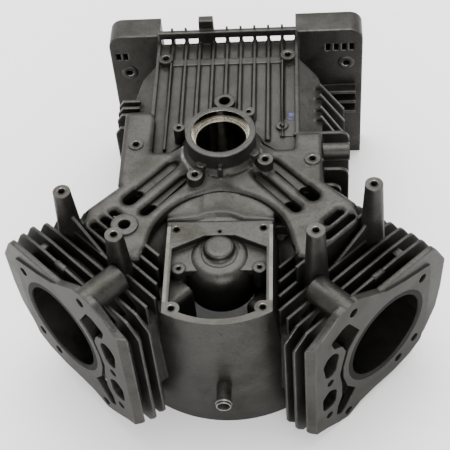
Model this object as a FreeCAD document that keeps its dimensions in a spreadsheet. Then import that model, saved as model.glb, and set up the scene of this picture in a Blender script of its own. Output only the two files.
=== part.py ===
import FreeCAD, Part
import math
import os
import re
import Sketcher
from types import SimpleNamespace
from FreeCAD import Placement, Rotation, Vector

# Crankcase of a vertical-shaft V-twin engine: one aluminium die casting with two finned
# cylinder barrels at 90 degrees, two cast-in iron liners, a bush in the crank bore and a
# pressed-in breather tube.
#
# Frame: millimetres. The origin is the crank axis on the sump face, +Z points up to the
# flywheel side and the V opens towards -Y. Each bank also has its own directions: u runs
# across the bank towards the middle of the V, v runs up from the cylinder axis and s runs
# out from the crank axis to the head.

# Driving sizes: name, value, meaning
SIZES = (
    ("case_height", 182.0, "top of the crank boss above the sump face"),
    ("plate_top", 157.0, "top of the spider plate"),
    ("plate_thick", 9.5, "spider plate thickness"),
    ("deck_top", 148.0, "top of the finned rear deck"),
    ("deck_thick", 10.0, "rear deck thickness"),
    ("wall", 6.0, "general wall"),
    ("case_left", 84.0, "crank axis to the left side wall"),
    ("case_right", 84.0, "crank axis to the right side wall"),
    ("case_front", 38.0, "crank axis forward to the shoulders of the box"),
    ("case_rear", 153.0, "crank axis back to the outside of the rear wall"),
    ("case_round", 72.0, "radius of the crank chamber outside"),
    ("neck_half", 65.0, "half width of the deck at the rear"),
    ("sump_flange_thick", 10.0, "sump flange height"),
    ("sump_flange_reach", 13.0, "sump flange beyond the side walls"),
    ("sump_hole", 4.2, "radius of the sump screw holes"),
    ("boss_radius", 29.1, "crank boss outside"),
    ("boss_foot", 37.0, "crank boss radius where it meets the plate"),
    ("seal_radius", 24.1, "seal bore"),
    ("seal_depth", 8.3, "seal bore depth"),
    ("crank_radius", 20.5, "main bearing bore"),
    ("bush_thick", 2.0, "main bearing bush wall"),
    ("bush_length", 36.0, "main bearing bush length"),
    ("bank_angle", 45.0, "turn of each bank from the front, degrees"),
    ("left_axis", 93.0, "left cylinder axis above the sump face"),
    ("right_axis", 75.0, "right cylinder axis above the sump face"),
    ("deck_reach", 186.3, "crank axis to the head deck faces"),
    ("bore_radius", 39.0, "cylinder bore"),
    ("liner_thick", 5.5, "iron liner wall"),
    ("liner_length", 92.0, "iron liner length"),
    ("liner_ledge", 2.5, "relief of the casting behind the liner"),
    ("barrel_thick", 5.5, "aluminium round the liner"),
    ("barrel_start", 62.0, "crank axis to the inner end of the barrel outside the chamber"),
    ("barrel_inside", 84.0, "crank axis to the inner end of the barrel inside the housing"),
    ("flange_thick", 6.5, "head flange thickness"),
    ("land_height", 1.8, "machined land above the cast flange face"),
    ("fin_pitch", 10.0, "barrel fin spacing"),
    ("fin_thick", 2.4, "barrel fin thickness"),
    ("fin_top", 63.5, "barrel fin edge above the cylinder axis"),
    ("fin_outer", 71.0, "barrel fin reach away from the V"),
    ("fin_inner", 90.0, "barrel fin reach into the V"),
    ("land_inner", 81.0, "machined land reach into the V"),
    ("gallery_near", 52.5, "push rod gallery, near side"),
    ("gallery_far", 77.0, "push rod gallery, far side"),
    ("gallery_half", 43.0, "push rod gallery half height"),
    ("gallery_start", 106.0, "crank axis to the inner end of the gallery"),
    ("head_bolt", 4.3, "head screw hole radius"),
    ("head_bolt_depth", 30.0, "head screw hole depth"),
    ("head_boss", 8.0, "head screw boss radius"),
    ("top_boss", 11.5, "radius of the long boss above the gallery"),
    ("top_boss_length", 37.0, "length of the long boss"),
    ("post_height", 196.5, "top of the cowl posts"),
    ("post_reach", 139.7, "crank axis to the posts along the bank"),
    ("post_offset", 32.0, "posts each side of the cylinder axis"),
    ("post_tip", 7.0, "post radius at the top"),
    ("post_foot", 10.5, "post radius at the foot"),
    ("post_hole", 2.8, "post screw hole radius"),
    ("post_hole_depth", 18.0, "post screw hole depth"),
    ("arm_outer", 35.0, "outer edge of a spider arm from the cylinder axis"),
    ("arm_reach", 133.0, "crank axis to the end of a spider arm"),
    ("arm_inner", 28.0, "inner edge of a spider arm at its end"),
    ("cam_axis", 100.0, "crank axis forward to the cam axis"),
    ("arch_radius", 57.5, "arch in the spider plate about the cam axis"),
    ("groove_depth", 5.0, "depth of the spider plate grooves"),
    ("housing_top", 151.0, "breather rim above the sump face"),
    ("housing_half", 42.5, "half width of the front housing at the rim"),
    ("housing_half_low", 60.0, "half width of the front housing at the sump"),
    ("housing_nose", 173.5, "crank axis forward to the front wall at the rim"),
    ("housing_nose_low", 165.0, "crank axis forward to the front wall at the sump"),
    ("nose_bulge", 11.5, "how far the front wall bows at the rim"),
    ("nose_bulge_low", 19.0, "how far the front wall bows at the sump"),
    ("rim_width", 5.0, "breather rim width"),
    ("housing_back", 64.0, "crank axis forward to the back of the housing"),
    ("rim_back", 71.0, "crank axis forward to the back of the rim"),
    ("panel_drop", 6.0, "floor of the breather box below the rim"),
    ("throat_half", 60.0, "half width of the passage from the chamber to the housing"),
    ("valley_floor", 139.0, "bottom of the valley behind the rim"),
    ("dome_radius", 26.0, "cam bearing dome radius"),
    ("dome_height", 16.0, "cam bearing dome height"),
    ("cam_boss", 11.3, "cam bearing boss radius"),
    ("rim_boss", 6.5, "breather screw boss radius"),
    ("rim_hole", 2.6, "breather screw hole radius"),
    ("rim_hole_across", 70.0, "breather screw spacing across"),
    ("rim_hole_back", 79.0, "crank axis forward to the rear breather screws"),
    ("rim_hole_front", 158.0, "crank axis forward to the front breather screws"),
    ("tube_axis", 58.0, "breather tube above the sump face"),
    ("tube_radius", 6.2, "breather tube outside"),
    ("tube_wall", 1.2, "breather tube wall"),
    ("tube_stand", 20.0, "breather tube beyond the front wall"),
    ("tube_bead", 0.8, "height of the bead near the tube's end"),
    ("deck_fin_pitch", 12.6, "rear deck fin spacing"),
    ("deck_fin_thick", 2.0, "rear deck fin thickness"),
    ("deck_fin_height", 4.5, "rear deck fin height"),
    ("guard_top", 162.0, "top of the holed rear wall"),
    ("guard_thick", 4.0, "holed rear wall thickness"),
    ("guard_hole", 4.9, "radius of the holes in the rear wall"),
    ("guard_hole_height", 153.0, "holes in the rear wall above the sump face"),
    ("guard_hole_tilt", 38.0, "fall of those holes towards the rear, degrees"),
    ("wing_left", 111.0, "crank axis to the left edge of the rear wing"),
    ("wing_right", 124.0, "crank axis to the right edge of the rear wing"),
    ("wing_inner", 62.5, "crank axis to the inner sides of the rear wings"),
    ("wing_top", 158.0, "top of the rear wings"),
    ("wing_depth", 25.0, "rear wings front to back"),
    ("wing_round", 12.0, "rounding of the wings' top corners"),
    ("rib_thick", 3.0, "side rib thickness"),
    ("rib_left", 96.0, "crank axis to the edges of the left ribs"),
    ("rib_right", 107.0, "crank axis to the edges of the right ribs"),
    ("rib_top", 151.0, "top of the side ribs"),
    ("pad_end", 52.0, "rear end of the raised pad on the left"),
    ("small_hole", 2.7, "small tapped hole radius"),
)

doc = FreeCAD.newDocument("crankcase")
sheet = doc.addObject("Spreadsheet::Sheet", "Sizes")
for row, (alias, value, meaning) in enumerate(SIZES, start=1):
    sheet.set("A%d" % row, alias)
    sheet.set("B%d" % row, str(value))
    sheet.set("C%d" % row, meaning)
    sheet.setAlias("B%d" % row, alias)
doc.recompute()
size = SimpleNamespace(**{alias: float(sheet.get(alias)) for alias, _, _ in SIZES})
ALIASES = set(vars(size))

LEFT, RIGHT = -1, 1
SIDES = {LEFT: "left", RIGHT: "right"}
UP = Vector(0, 0, 1)


def cell(text):
    """Expression text with every size's name turned into its cell."""
    text = re.sub(r"[a-z_]+", lambda m: "Sizes." + m.group() if m.group() in ALIASES else m.group(), str(text))
    return text


def tie(thing, **texts):
    for prop, text in texts.items():
        thing.setExpression(prop, cell(text))


def put(thing, x, y, z, turn=None):
    """Place an object by three expressions, and turn it if asked."""
    thing.Placement = Placement(Vector(), turn or Rotation())
    for axis, text in zip("xyz", (x, y, z)):
        thing.setExpression("Placement.Base." + axis, cell(text))
    return thing


def block(name, x, y, z, length, width, height):
    """Box from its lowest corner and its three sizes."""
    thing = doc.addObject("Part::Box", name)
    tie(thing, Length=length, Width=width, Height=height)
    return put(thing, x, y, z)


def bar(name, x, y, z, radius, length, axis=UP):
    """Round bar from the middle of its first end, along an axis."""
    thing = doc.addObject("Part::Cylinder", name)
    tie(thing, Radius=radius, Height=length)
    return put(thing, x, y, z, Rotation(UP, axis))


def taper(name, x, y, z, low, high, length):
    """Upright cone from its lower end."""
    thing = doc.addObject("Part::Cone", name)
    tie(thing, Radius1=low, Radius2=high, Height=length)
    return put(thing, x, y, z)


def fuse(name, things):
    thing = doc.addObject("Part::MultiFuse", name)
    thing.Shapes = things
    thing.Refine = True
    return thing


def rounded(corners):
    """Lines and arcs round a closed outline of (x, y) or (x, y, corner radius)."""
    points = [Vector(c[0], c[1], 0) for c in corners]
    radii = [c[2] if len(c) > 2 else 0.0 for c in corners]
    ends, arcs = [], []
    for i, corner in enumerate(points):
        before = (points[i - 1] - corner).normalize()
        after = (points[(i + 1) % len(points)] - corner).normalize()
        if not radii[i]:
            ends.append((corner, corner))
            arcs.append(None)
            continue
        half = before.getAngle(after) / 2
        along = radii[i] / math.tan(half)
        middle = corner + (before + after).normalize() * (radii[i] / math.sin(half))
        near = middle + (corner - middle).normalize() * radii[i]
        ends.append((corner + before * along, corner + after * along))
        arcs.append(Part.Arc(ends[-1][0], near, ends[-1][1]))
    pieces = []
    for i in range(len(points)):
        if arcs[i]:
            pieces.append(arcs[i])
        start, stop = ends[i][1], ends[(i + 1) % len(points)][0]
        if start.distanceToPoint(stop) > 1e-6:
            pieces.append(Part.LineSegment(start, stop))
    return pieces


def sketch(name, pieces):
    """Sketch of connected lines and arcs."""
    thing = doc.addObject("Sketcher::SketchObject", name)
    thing.addGeometry(pieces, False)
    return thing


def flat(name, pieces, z, height):
    """Level slab: a sketch at height z, extruded upwards."""
    base = put(sketch(name + "_outline", pieces), "0", "0", z)
    return extrude(name, base, height)


def extrude(name, base, length):
    thing = doc.addObject("Part::Extrusion", name)
    thing.Base = base
    thing.DirMode = "Normal"
    thing.Solid = True
    tie(thing, LengthFwd=length)
    return thing


def slot(name, first, last, radius, z, height):
    """Level slot with round ends between two points."""
    run = Vector(last[0] - first[0], last[1] - first[1], 0).normalize()
    side = Vector(-run.y, run.x, 0) * radius
    start, stop = Vector(*first, 0), Vector(*last, 0)
    pieces = [
        Part.LineSegment(start + side, stop + side),
        Part.Arc(stop + side, stop + run * radius, stop - side),
        Part.LineSegment(stop - side, start - side),
        Part.Arc(start - side, start - run * radius, start + side),
    ]
    return flat(name, pieces, z, height)


# Bank directions

def outward(side):
    angle = math.radians(size.bank_angle)
    return Vector(side * math.sin(angle), -math.cos(angle), 0)


def bank_turn(side):
    """Turn that takes sketch X across the bank, Y up and the normal outwards."""
    out = outward(side)
    return Rotation(UP.cross(out), UP, out, "ZXY")


def bank_place(side, u, v, s):
    """Expressions for the point (u, v, s) of a bank."""
    x = "%d * ((%s) * sin(bank_angle) - (%s) * cos(bank_angle))" % (side, s, u)
    y = "-(%s) * cos(bank_angle) - (%s) * sin(bank_angle)" % (s, u)
    return x, y, "%s_axis + (%s)" % (SIDES[side], v)


def plan(side, u, s):
    """Plan position of the point (u, s) of a bank."""
    angle = math.radians(size.bank_angle)
    x = side * (s * math.sin(angle) - u * math.cos(angle))
    return x, -s * math.cos(angle) - u * math.sin(angle)


def bank_bar(side, name, u, v, s, radius, length):
    x, y, z = bank_place(side, u, v, s)
    return bar("%s_%s" % (SIDES[side], name), x, y, z, radius, length, outward(side))


def bank_slab(side, name, corners, s, length):
    """Plate across a bank from its (u, v) corners, extruded outwards from s."""
    turned = [(-side * c[0], c[1]) + tuple(c[2:]) for c in corners]
    base = sketch("%s_%s_outline" % (SIDES[side], name), rounded(turned))
    put(base, *bank_place(side, "0", "0", s), turn=bank_turn(side))
    return extrude("%s_%s" % (SIDES[side], name), base, length)


# Material outside, hollows, material added inside the hollows and the last holes
solids = []
cuts = []
inner = []
final = []
groups = []


def chain(name, things):
    """Fuse a list one after another."""
    total = things[0]
    for number, thing in enumerate(things[1:], start=1):
        total = fuse("%s_%d" % (name, number), [total, thing])
    return total


def close_group(name):
    """Fuse the outside material gathered so far into one group."""
    join = chain if "bank" in name else fuse
    groups.append(join(name, list(solids)))
    solids.clear()



# Case: rear box round the crank chamber, its sump flange and its hollow

left, right, front, rear = size.case_left, size.case_right, size.case_front, size.case_rear
neck = size.neck_half
shoulder = 120.0
box_corners = [
    (-left, -front), (right, -front), (right, shoulder - 15, 20), (neck, shoulder + 5, 6),
    (neck, rear), (-neck, rear), (-neck, shoulder, 6), (-left + 8, shoulder - 12, 14), (-left, 70, 10),
]
core = [
    flat("case_box", rounded(box_corners), "0", "deck_top"),
    bar("crank_chamber", "0", "0", "0", "case_round", "deck_top"),
    block("throat", "-throat_half", "-housing_back - 4", "0", "2 * throat_half", "case_front", "valley_floor"),
]
reach = size.sump_flange_reach
flange_corners = [
    (-left - reach, -front - 10, 8), (right + reach, -front - 10, 8), (right + reach, rear), (-left - reach, rear),
]
solids.append(flat("sump_flange", rounded(flange_corners), "0", "sump_flange_thick"))

wall = size.wall
hollow_corners = [
    (-left + wall, -front + wall), (right - wall, -front + wall), (right - wall, shoulder - 25, 14),
    (neck - wall, shoulder - 2, 4), (neck - wall, rear - wall), (-neck + wall, rear - wall),
    (-neck + wall, shoulder - 8, 4), (-left + wall + 10, shoulder - 30, 14), (-left + wall, 62, 10),
]
cuts.append(flat("box_hollow", rounded(hollow_corners), "-1", "deck_top - deck_thick + 1"))
cuts.append(bar("chamber_hollow", "0", "0", "-1", "case_round - wall", "valley_floor - deck_thick + 1"))
cuts.append(block("throat_hollow", "-throat_half + wall", "-housing_back - 5", "-1", "2 * (throat_half - wall)",
                  "case_front + 2", "valley_floor - deck_thick + 1"))

# Front housing with the breather rim, narrower at the rim than at the sump


def nose(half, tip, bulge, back, inset=0.0):
    """Outline of the housing: straight sides and a bowed front."""
    half, tip = half - inset, tip - inset
    corner = -(tip - bulge)
    return [
        Part.LineSegment(Vector(half, corner, 0), Vector(half, -back, 0)),
        Part.LineSegment(Vector(half, -back, 0), Vector(-half, -back, 0)),
        Part.LineSegment(Vector(-half, -back, 0), Vector(-half, corner, 0)),
        Part.Arc(Vector(-half, corner, 0), Vector(0, -tip, 0), Vector(half, corner, 0)),
    ]


def housing(name, inset, back, top, bottom="0"):
    """Loft between the housing's outlines at the rim and at the sump."""
    low = sketch(name + "_low", nose(size.housing_half_low, size.housing_nose_low, size.nose_bulge_low,
                                     back, inset))
    high = sketch(name + "_high", nose(size.housing_half, size.housing_nose, size.nose_bulge, back, inset))
    put(low, "0", "0", bottom)
    put(high, "0", "0", top)
    thing = doc.addObject("Part::Loft", name)
    thing.Sections = [low, high]
    thing.Solid = True
    thing.Ruled = True
    return thing


core.append(housing("front_housing", 0.0, size.housing_back, "housing_top"))

# Valley between the spider plate's arch and the breather rim, and the falling shoulders of the deck


def cut(name, base, tool):
    thing = doc.addObject("Part::Cut", name)
    thing.Base = base
    thing.Tool = tool
    thing.Refine = True
    return thing


FACING_FRONT = Rotation(Vector(1, 0, 0), UP, Vector(0, -1, 0), "ZXY")
FACING_RIGHT = Rotation(Vector(0, 1, 0), UP, Vector(1, 0, 0), "ZXY")


def cross_slab(name, corners, y, length):
    """Upright plate across the case from its (x, z) corners, extruded forward from y."""
    base = put(sketch(name + "_outline", rounded(corners)), "0", y, "0", turn=FACING_FRONT)
    return extrude(name, base, length)


def side_slab(name, corners, x, length):
    """Upright plate along the case from its (y, z) corners, extruded to the right from x."""
    base = put(sketch(name + "_outline", rounded(corners)), x, "0", "0", turn=FACING_RIGHT)
    return extrude(name, base, length)


room = housing("housing_room", size.rim_width, size.housing_back - 1, "housing_top + 0.01", "-1")
lid = block("rim_back_wall", "-throat_half - 1", "-rim_back - wall", "valley_floor - deck_thick",
            "2 * throat_half + 2", "wall + 20", "40")
cuts.append(cut("housing_hollow", room, lid))
valley = bar("valley_round", "0", "-cam_axis", "valley_floor", "arch_radius", "20")
rim_block = block("rim_block", "-housing_half - 3", "-housing_nose - 5", "valley_floor - 1",
                  "2 * housing_half + 6", "housing_nose + 5 - rim_back", "22")
falls = []
for side, start in ((LEFT, "60"), (RIGHT, "27")):
    wedge = [(side * (neck - 2), size.deck_top), (side * (neck - 2), size.deck_top + 2),
             (side * (right + 8), size.deck_top + 2), (side * (right + 8), size.deck_top - 14),
             (side * right, size.deck_top - 8, 8)]
    falls.append(cross_slab(SIDES[side] + "_fall", wedge, "126", "126 - " + start))
solids.append(cut("core", fuse("core_mass", core), fuse("core_tools", falls + [cut("valley", valley, rim_block)])))

# Barrel, gallery, flange, fins and posts of one bank

FIN_COUNT = 7
OUTER_FINS = 2
HEAD_BOLTS = ((-41.3, 36.6), (-37.6, -40.7), (-18.0, -50.3), (43.0, -64.5))
DOWELS = ((65.0, 0.3), (66.0, -45.7))
FIN_STEP = {LEFT: 5.0, RIGHT: 1.5}


def plate_edge(outer, inner, top):
    """Outline shared by the fins and the flange, clockwise from the lower left."""
    return [
        (-outer, 2), (-outer, 34, 8), (-outer + 15, top - 3, 8), (-25, top),
        (inner - 14, top, 5), (inner, top - 10, 4), (inner, -56, 5), (inner - 7, -65),
        (55, -70), (43, -74, 6), (28, -67), (12, -65), (-12, -65), (-34, -60.5), (-53, -47), (-65, -24),
    ]


def inner_edge(outer, inner, top):
    """Outline of a fin that runs into the side of the front housing."""
    return [
        (-outer, 2), (-outer, 34, 8), (-outer + 15, top - 3, 8), (-25, top),
        (inner, top), (inner, -66), (12, -65), (-12, -65), (-34, -60.5), (-53, -47), (-65, -24),
    ]


def land_edge(inner):
    """Outline of the machined deck face."""
    return [
        (-52, -30, 12), (-52, 46, 5), (-20, 53), (2, 60, 20), (34, 80, 4), (55, 80, 10), (73, 66),
        (inner, 60, 3), (inner, -57, 5), (69, -63), (55, -69.5), (43, -73.5, 6), (28, -66.5),
        (12, -64.5), (-12, -64.5), (-33, -60), (-46, -52, 6),
    ]


def flange_edge(inner):
    """Outline of the cast flange behind the machined face."""
    return [
        (-69, 0), (-71, 34, 10), (-56, 61, 9), (10, 63.5), (33, 79), (56, 79, 6), (74, 66),
        (inner, 59, 3), (inner, -56, 5), (70, -63), (55, -70), (43, -74, 6), (28, -67),
        (12, -65), (-12, -65), (-34, -60.5), (-53, -47), (-65, -24),
    ]


def build_bank(side):
    axis = SIDES[side] + "_axis"
    middle = size.deck_reach - size.flange_thick + size.fin_thick / 2
    outside = "bore_radius + liner_thick + barrel_thick"
    solids.append(bank_bar(side, "barrel", "0", "0", "barrel_start", outside, "deck_reach - barrel_start - 1"))
    inner.append(bank_bar(side, "barrel_in", "0", "0", "barrel_inside", outside, "deck_reach - barrel_inside - 9"))
    near, far, half = size.gallery_near, size.gallery_far, size.gallery_half
    gallery = [(near, -half, 6), (near, half, 6), (far, half, 6), (far, -half, 6)]
    inner.append(bank_slab(side, "gallery", gallery, "gallery_start", "deck_reach - gallery_start - 1"))
    solids.append(bank_slab(side, "flange", flange_edge(size.land_inner + 6),
                            "deck_reach - flange_thick", "flange_thick - land_height"))
    solids.append(bank_slab(side, "land", land_edge(size.land_inner + 6),
                            "deck_reach - flange_thick", "flange_thick"))
    for number in range(FIN_COUNT):
        place = middle - (number + 1) * size.fin_pitch
        outer = size.fin_outer - FIN_STEP[side] * max(0, number + 1 - OUTER_FINS)
        if number < OUTER_FINS:
            edge = plate_edge(outer, size.fin_inner, size.fin_top)
        else:
            reach = min(place - size.housing_half / math.sin(math.radians(size.bank_angle)) - 6, 76)
            edge = inner_edge(outer, reach, size.fin_top)
        start = "deck_reach - flange_thick - %d * fin_pitch" % (number + 1)
        solids.append(bank_slab(side, "fin_%d" % (number + 1), edge, start, "fin_thick"))
        if place < size.arm_reach:
            tall = size.plate_top - vars(size)[axis] - 0.4
            comb = [(-size.arm_outer + 2, 0), (-size.arm_outer + 2, tall), (reach - 20, tall), (reach - 20, 0)]
            solids.append(bank_slab(side, "bar_%d" % (number + 1), comb, start, "fin_thick"))
    for number, (u, v) in enumerate(HEAD_BOLTS, start=1):
        solids.append(bank_bar(side, "head_boss_%d" % number, u, v, "deck_reach - head_bolt_depth - 10",
                               "head_boss", "head_bolt_depth + 8"))
    solids.append(bank_bar(side, "long_boss", "43", "fin_top + 6.5", "deck_reach - top_boss_length",
                           "top_boss", "top_boss_length"))
    for name, sign in (("outer", "-"), ("inner", "")):
        x, y, _ = bank_place(side, sign + "post_offset", "0", "post_reach")
        solids.append(taper("%s_%s_post" % (SIDES[side], name), x, y, axis + " + fin_top - 14",
                            "post_foot", "post_tip", "post_height - %s - fin_top + 14" % axis))
        solids.append(bar("%s_%s_post_root" % (SIDES[side], name), x, y, axis + " + 20", "post_foot",
                          "fin_top - 34 + 0.5"))
        final.append(bar("%s_%s_post_hole" % (SIDES[side], name), x, y, "post_height - post_hole_depth",
                        "post_hole", "post_hole_depth + 1"))
    web = [
        (-size.post_offset, size.fin_top - 20), (-size.post_offset, size.post_height - 17 - vars(size)[axis]),
        (-size.post_offset + 9, size.fin_top + 16, 14), (size.arm_inner - 16, size.fin_top - 1),
        (size.arm_inner - 16, size.fin_top - 20),
    ]
    solids.append(bank_slab(side, "post_web", web, "post_reach - 1", "fin_thick"))


def hollow_bank(side):
    """Bores, tunnels, slots and screw holes of one bank."""
    final.append(bank_bar(side, "bore", "0", "0", "30", "bore_radius + liner_ledge", "deck_reach - 30 + 1"))
    final.append(bank_bar(side, "liner_seat", "0", "0", "deck_reach - liner_length",
                         "bore_radius + liner_thick", "liner_length + 1"))
    upper = [(55, 30, 8), (64, 42, 7), (73.5, 30, 8), (70, 9.5, 5), (59, 9.5, 5)]
    lower = [(57.5, -16, 6), (66, -9, 5), (74, -16, 6), (73.5, -34.5, 5), (59, -34.5, 5)]
    inward = "gallery_start - 10"
    final.append(bank_slab(side, "upper_tunnel", upper, inward, "deck_reach - gallery_start + 11"))
    final.append(bank_slab(side, "lower_tunnel", lower, inward, "deck_reach - gallery_start + 11"))
    air = [
        (32, 39, 2), (45, 60.5, 4), (52, 60), (64.5, 53, 3), (61, 42), (52, 37, 5), (48, 27), (52, 12, 8),
        (54.5, 0, 10), (52, -14), (51.5, -32, 4), (56.5, -44), (58, -56, 4), (50, -60, 4), (34.5, -39, 2),
        (45, -25), (50, -7), (50, 7), (45, 24),
    ]
    final.append(bank_slab(side, "air_slot", air, "deck_reach - flange_thick - 3 * fin_pitch - 1",
                          "flange_thick + 3 * fin_pitch + 2"))
    for number, (u, v) in enumerate(HEAD_BOLTS, start=1):
        final.append(bank_bar(side, "head_hole_%d" % number, u, v, "deck_reach - head_bolt_depth",
                             "head_bolt", "head_bolt_depth + 1"))
    final.append(bank_bar(side, "long_hole", "40", "69", "deck_reach - head_bolt_depth",
                         "head_bolt", "head_bolt_depth + 1"))
    for number, (u, v) in enumerate(DOWELS, start=1):
        final.append(bank_bar(side, "dowel_%d" % number, u, v, "deck_reach - 14", "head_bolt - 0.6", "15"))
    far, back = size.land_inner + 6, size.deck_reach - size.flange_thick
    slope = [plan(side, far + 2.3, back - 2.5), plan(side, size.land_inner - 0.9, size.deck_reach + 1),
             plan(side, far + 8, size.deck_reach + 1)]
    final.append(flat(SIDES[side] + "_slope", rounded(slope), "-1", "case_height"))


close_group("case_group")
for side in SIDES:
    build_bank(side)
    hollow_bank(side)
    close_group(SIDES[side] + "_bank_group")

# Spider plate: two arms and the arch over the cam, with grooves and windows

arm, tip = size.arm_outer, size.arm_reach
root = size.case_left / math.sin(math.radians(size.bank_angle)) - arm


def arm_edge(side):
    """Corners of one arm, from the side of the case round to the arch."""
    return [
        plan(side, -arm, root), plan(side, -arm, tip - 15), plan(side, -arm + 8, tip - 4) + (6,),
        plan(side, -arm + 13, tip), plan(side, size.arm_inner + 3, tip) + (3,),
        plan(side, size.arm_inner + 8, tip - 9) + (3,), plan(side, size.arm_inner + 1, tip - 21) + (10,),
        plan(side, size.arm_inner - 5, tip - 33),
    ]


edge = [(-left - 2, size.pad_end, 2), (-left - 2, -33)] + arm_edge(LEFT)
edge += arm_edge(RIGHT)[::-1] + [
    (right, 22, 3), (62, 22), (60, 3, 3), (45, 3), (30, 10), (-30, 10), (-45, 3), (-60, 3, 3),
    (-60, 43), (-62, size.pad_end, 6),
]
under = "plate_top - plate_thick"
plate = flat("spider", rounded(edge), under, "plate_thick")
arch = bar("arch", "0", "-cam_axis", under + " - 1", "arch_radius", "plate_thick + 2")
solids.append(cut("spider_plate", plate, arch))


def plate_cut(name, pieces, top="plate_thick + 2"):
    """Window right through the plate."""
    final.append(flat(name, pieces, under + " - 1.5", top))


for side in SIDES:
    word = SIDES[side]
    floor = "plate_top - groove_depth"
    for name, first, last, radius in (
            ("outer_groove", (-21, 38), (-18, 89), "4.5"), ("inner_groove", (-2, 42), (1, 88), "3.8")):
        final.append(slot("%s_%s" % (word, name), plan(side, *first), plan(side, *last), float(radius), floor,
                          "groove_depth + 1"))
    for name, first, last, radius in (
            ("outer_window", (-18.6, 79), (-18, 88), 5.6), ("inner_window", (0.6, 80), (1, 87.5), 4.2)):
        final.append(slot("%s_%s" % (word, name), plan(side, *first), plan(side, *last), radius, under + " - 1.5",
                          "plate_thick + 3"))

WINDOWS = {
    LEFT: ((103, 110, -20, -6), (112.5, 119.5, -20, -5), (122.5, 129.3, -21, 9)),
    RIGHT: ((112.5, 119.5, -23, -2), (122.5, 129.3, -26, 8)),
}
for side, places in WINDOWS.items():
    for number, (near, far, low, high) in enumerate(places, start=1):
        middle, radius = (near + far) / 2, (far - near) / 2 - 0.3
        final.append(slot("%s_window_%d" % (SIDES[side], number), plan(side, low + radius, middle),
                          plan(side, high - radius, middle), radius, under + " - 1.5", "plate_thick + 3"))
x, y = plan(LEFT, 2, 110)
solids.append(bar("ring_boss", str(x), str(y), under, "11", "plate_thick + 2"))
final.append(bar("ring_hole", str(x), str(y), under + " - 2", "small_hole + 2.3", "plate_thick + 5"))

# Crank boss with its seal bore, bush bore and inside hub

solids.append(bar("crank_boss", "0", "0", "deck_top - 2", "boss_radius", "case_height - deck_top + 2"))
solids.append(taper("crank_foot", "0", "0", "plate_top - 2", "boss_foot", "boss_radius", "12"))
solids.append(block("front_rib", "-1.5", "-boss_radius - 5", "plate_top - 1", "3", "10", "16"))
hub_bottom = "case_height - seal_depth - bush_length - 2"
inner.append(bar("crank_hub", "0", "0", hub_bottom, "boss_radius + 2", "deck_top - 2 - (%s)" % hub_bottom))
final.append(bar("seal_bore", "0", "0", "case_height - seal_depth", "seal_radius", "seal_depth + 1"))
final.append(bar("bush_bore", "0", "0", "case_height - seal_depth - bush_length", "crank_radius + bush_thick",
                 "bush_length + 1"))
final.append(bar("crank_passage", "0", "0", hub_bottom + " - 1", "crank_radius + 0.5", "4"))

# Bosses round the crank boss and on the deck: name, x, y, top, radius, hole radius, hole depth, foot

BOSSES = (
    ("lug", 23.0, 22.5, 182.0, 5.0, 1.8, 12.0, 150.0),
    ("pillar", -37.2, 22.8, 165.0, 4.7, 2.0, 14.0, 147.0),
    ("front_left_boss", -20.8, -34.0, 167.0, 6.5, 2.9, 16.0, 150.0),
    ("front_right_boss", 36.4, -18.5, 167.0, 6.5, 2.9, 16.0, 150.0),
    ("rear_hole_boss", -0.3, 66.6, 153.0, 9.0, 5.0, 14.0, 146.0),
    ("left_pad_boss", -73.8, 10.9, 158.5, 6.0, 2.9, 12.0, 150.0),
    ("right_pad_boss", 75.2, -11.0, 158.5, 6.5, 2.9, 12.0, 150.0),
    ("rear_left_boss", -55.3, 123.6, 154.0, 6.5, 2.9, 12.0, 146.0),
    ("rear_right_boss", 55.3, 123.6, 154.0, 6.5, 2.9, 12.0, 146.0),
    ("sensor_ring", 49.9, 36.6, 150.5, 5.0, 2.0, 8.0, 146.0),
)
for name, x, y, top, radius, hole, depth, foot in BOSSES:
    solids.append(bar(name, str(x), str(y), str(foot), str(radius), str(top - foot)))
    final.append(bar(name + "_hole", str(x), str(y), str(top - depth), str(hole), str(depth + 1)))
for name, x, y in (("front_left_web", -20.8, -34.0), ("front_right_web", 36.4, -18.5)):
    run = Vector(x, y, 0).normalize()
    start, stop = run * 24, Vector(x, y, 0) - run * 10
    solids.append(slot(name, (start.x, start.y), (stop.x, stop.y), 4.0, "150", "20.5"))

close_group("top_group")

# Rear deck: cooling fins, ridge, edge beads, holed rear wall with its ribs and lifting tab

FIN_STARTS = {-4: 10, -3: 35, -2: 42, -1: 50, 0: 77, 1: 50, 2: 45, 3: 20, 4: 24}
for step, y in FIN_STARTS.items():
    solids.append(block("deck_fin_%d" % (step + 5), "%d * deck_fin_pitch - deck_fin_thick / 2" % step, str(y),
                        "deck_top - 1", "deck_fin_thick", "case_rear - %d - 3" % y, "deck_fin_height + 1"))
solids.append(block("deck_ridge", "-wing_inner", "118", "deck_top - 1", "2 * wing_inner", "8", "2.5"))
solids.append(block("left_bead", "-wing_inner - 2", "pad_end - 1", "deck_top - 1", "3", "case_rear - pad_end - 2",
                    "4"))
solids.append(block("right_bead", "wing_inner - 1", "20", "deck_top - 1", "3", "case_rear - 22", "4"))
solids.append(block("number_pad", "48", "25", "deck_top - 1", "15", "20", "1.8"))
guard_front = "case_rear - guard_thick - 1"
solids.append(block("guard", "-wing_inner - 1", guard_front, "deck_top - 10", "2 * wing_inner + 2", "guard_thick",
                    "guard_top - deck_top + 10"))
fall = math.radians(size.guard_hole_tilt)
downhill = Vector(0, math.cos(fall), -math.sin(fall))
for step in (-5, -4, -3, -1, 0, 1, 2, 3, 4):
    final.append(bar("guard_hole_%d" % (step + 6), "(%d + 0.5) * deck_fin_pitch" % step, guard_front + " - 1",
                     "guard_hole_height + 0.8", "guard_hole", "guard_thick + 6", downhill))
back = size.case_rear - 2
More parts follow.
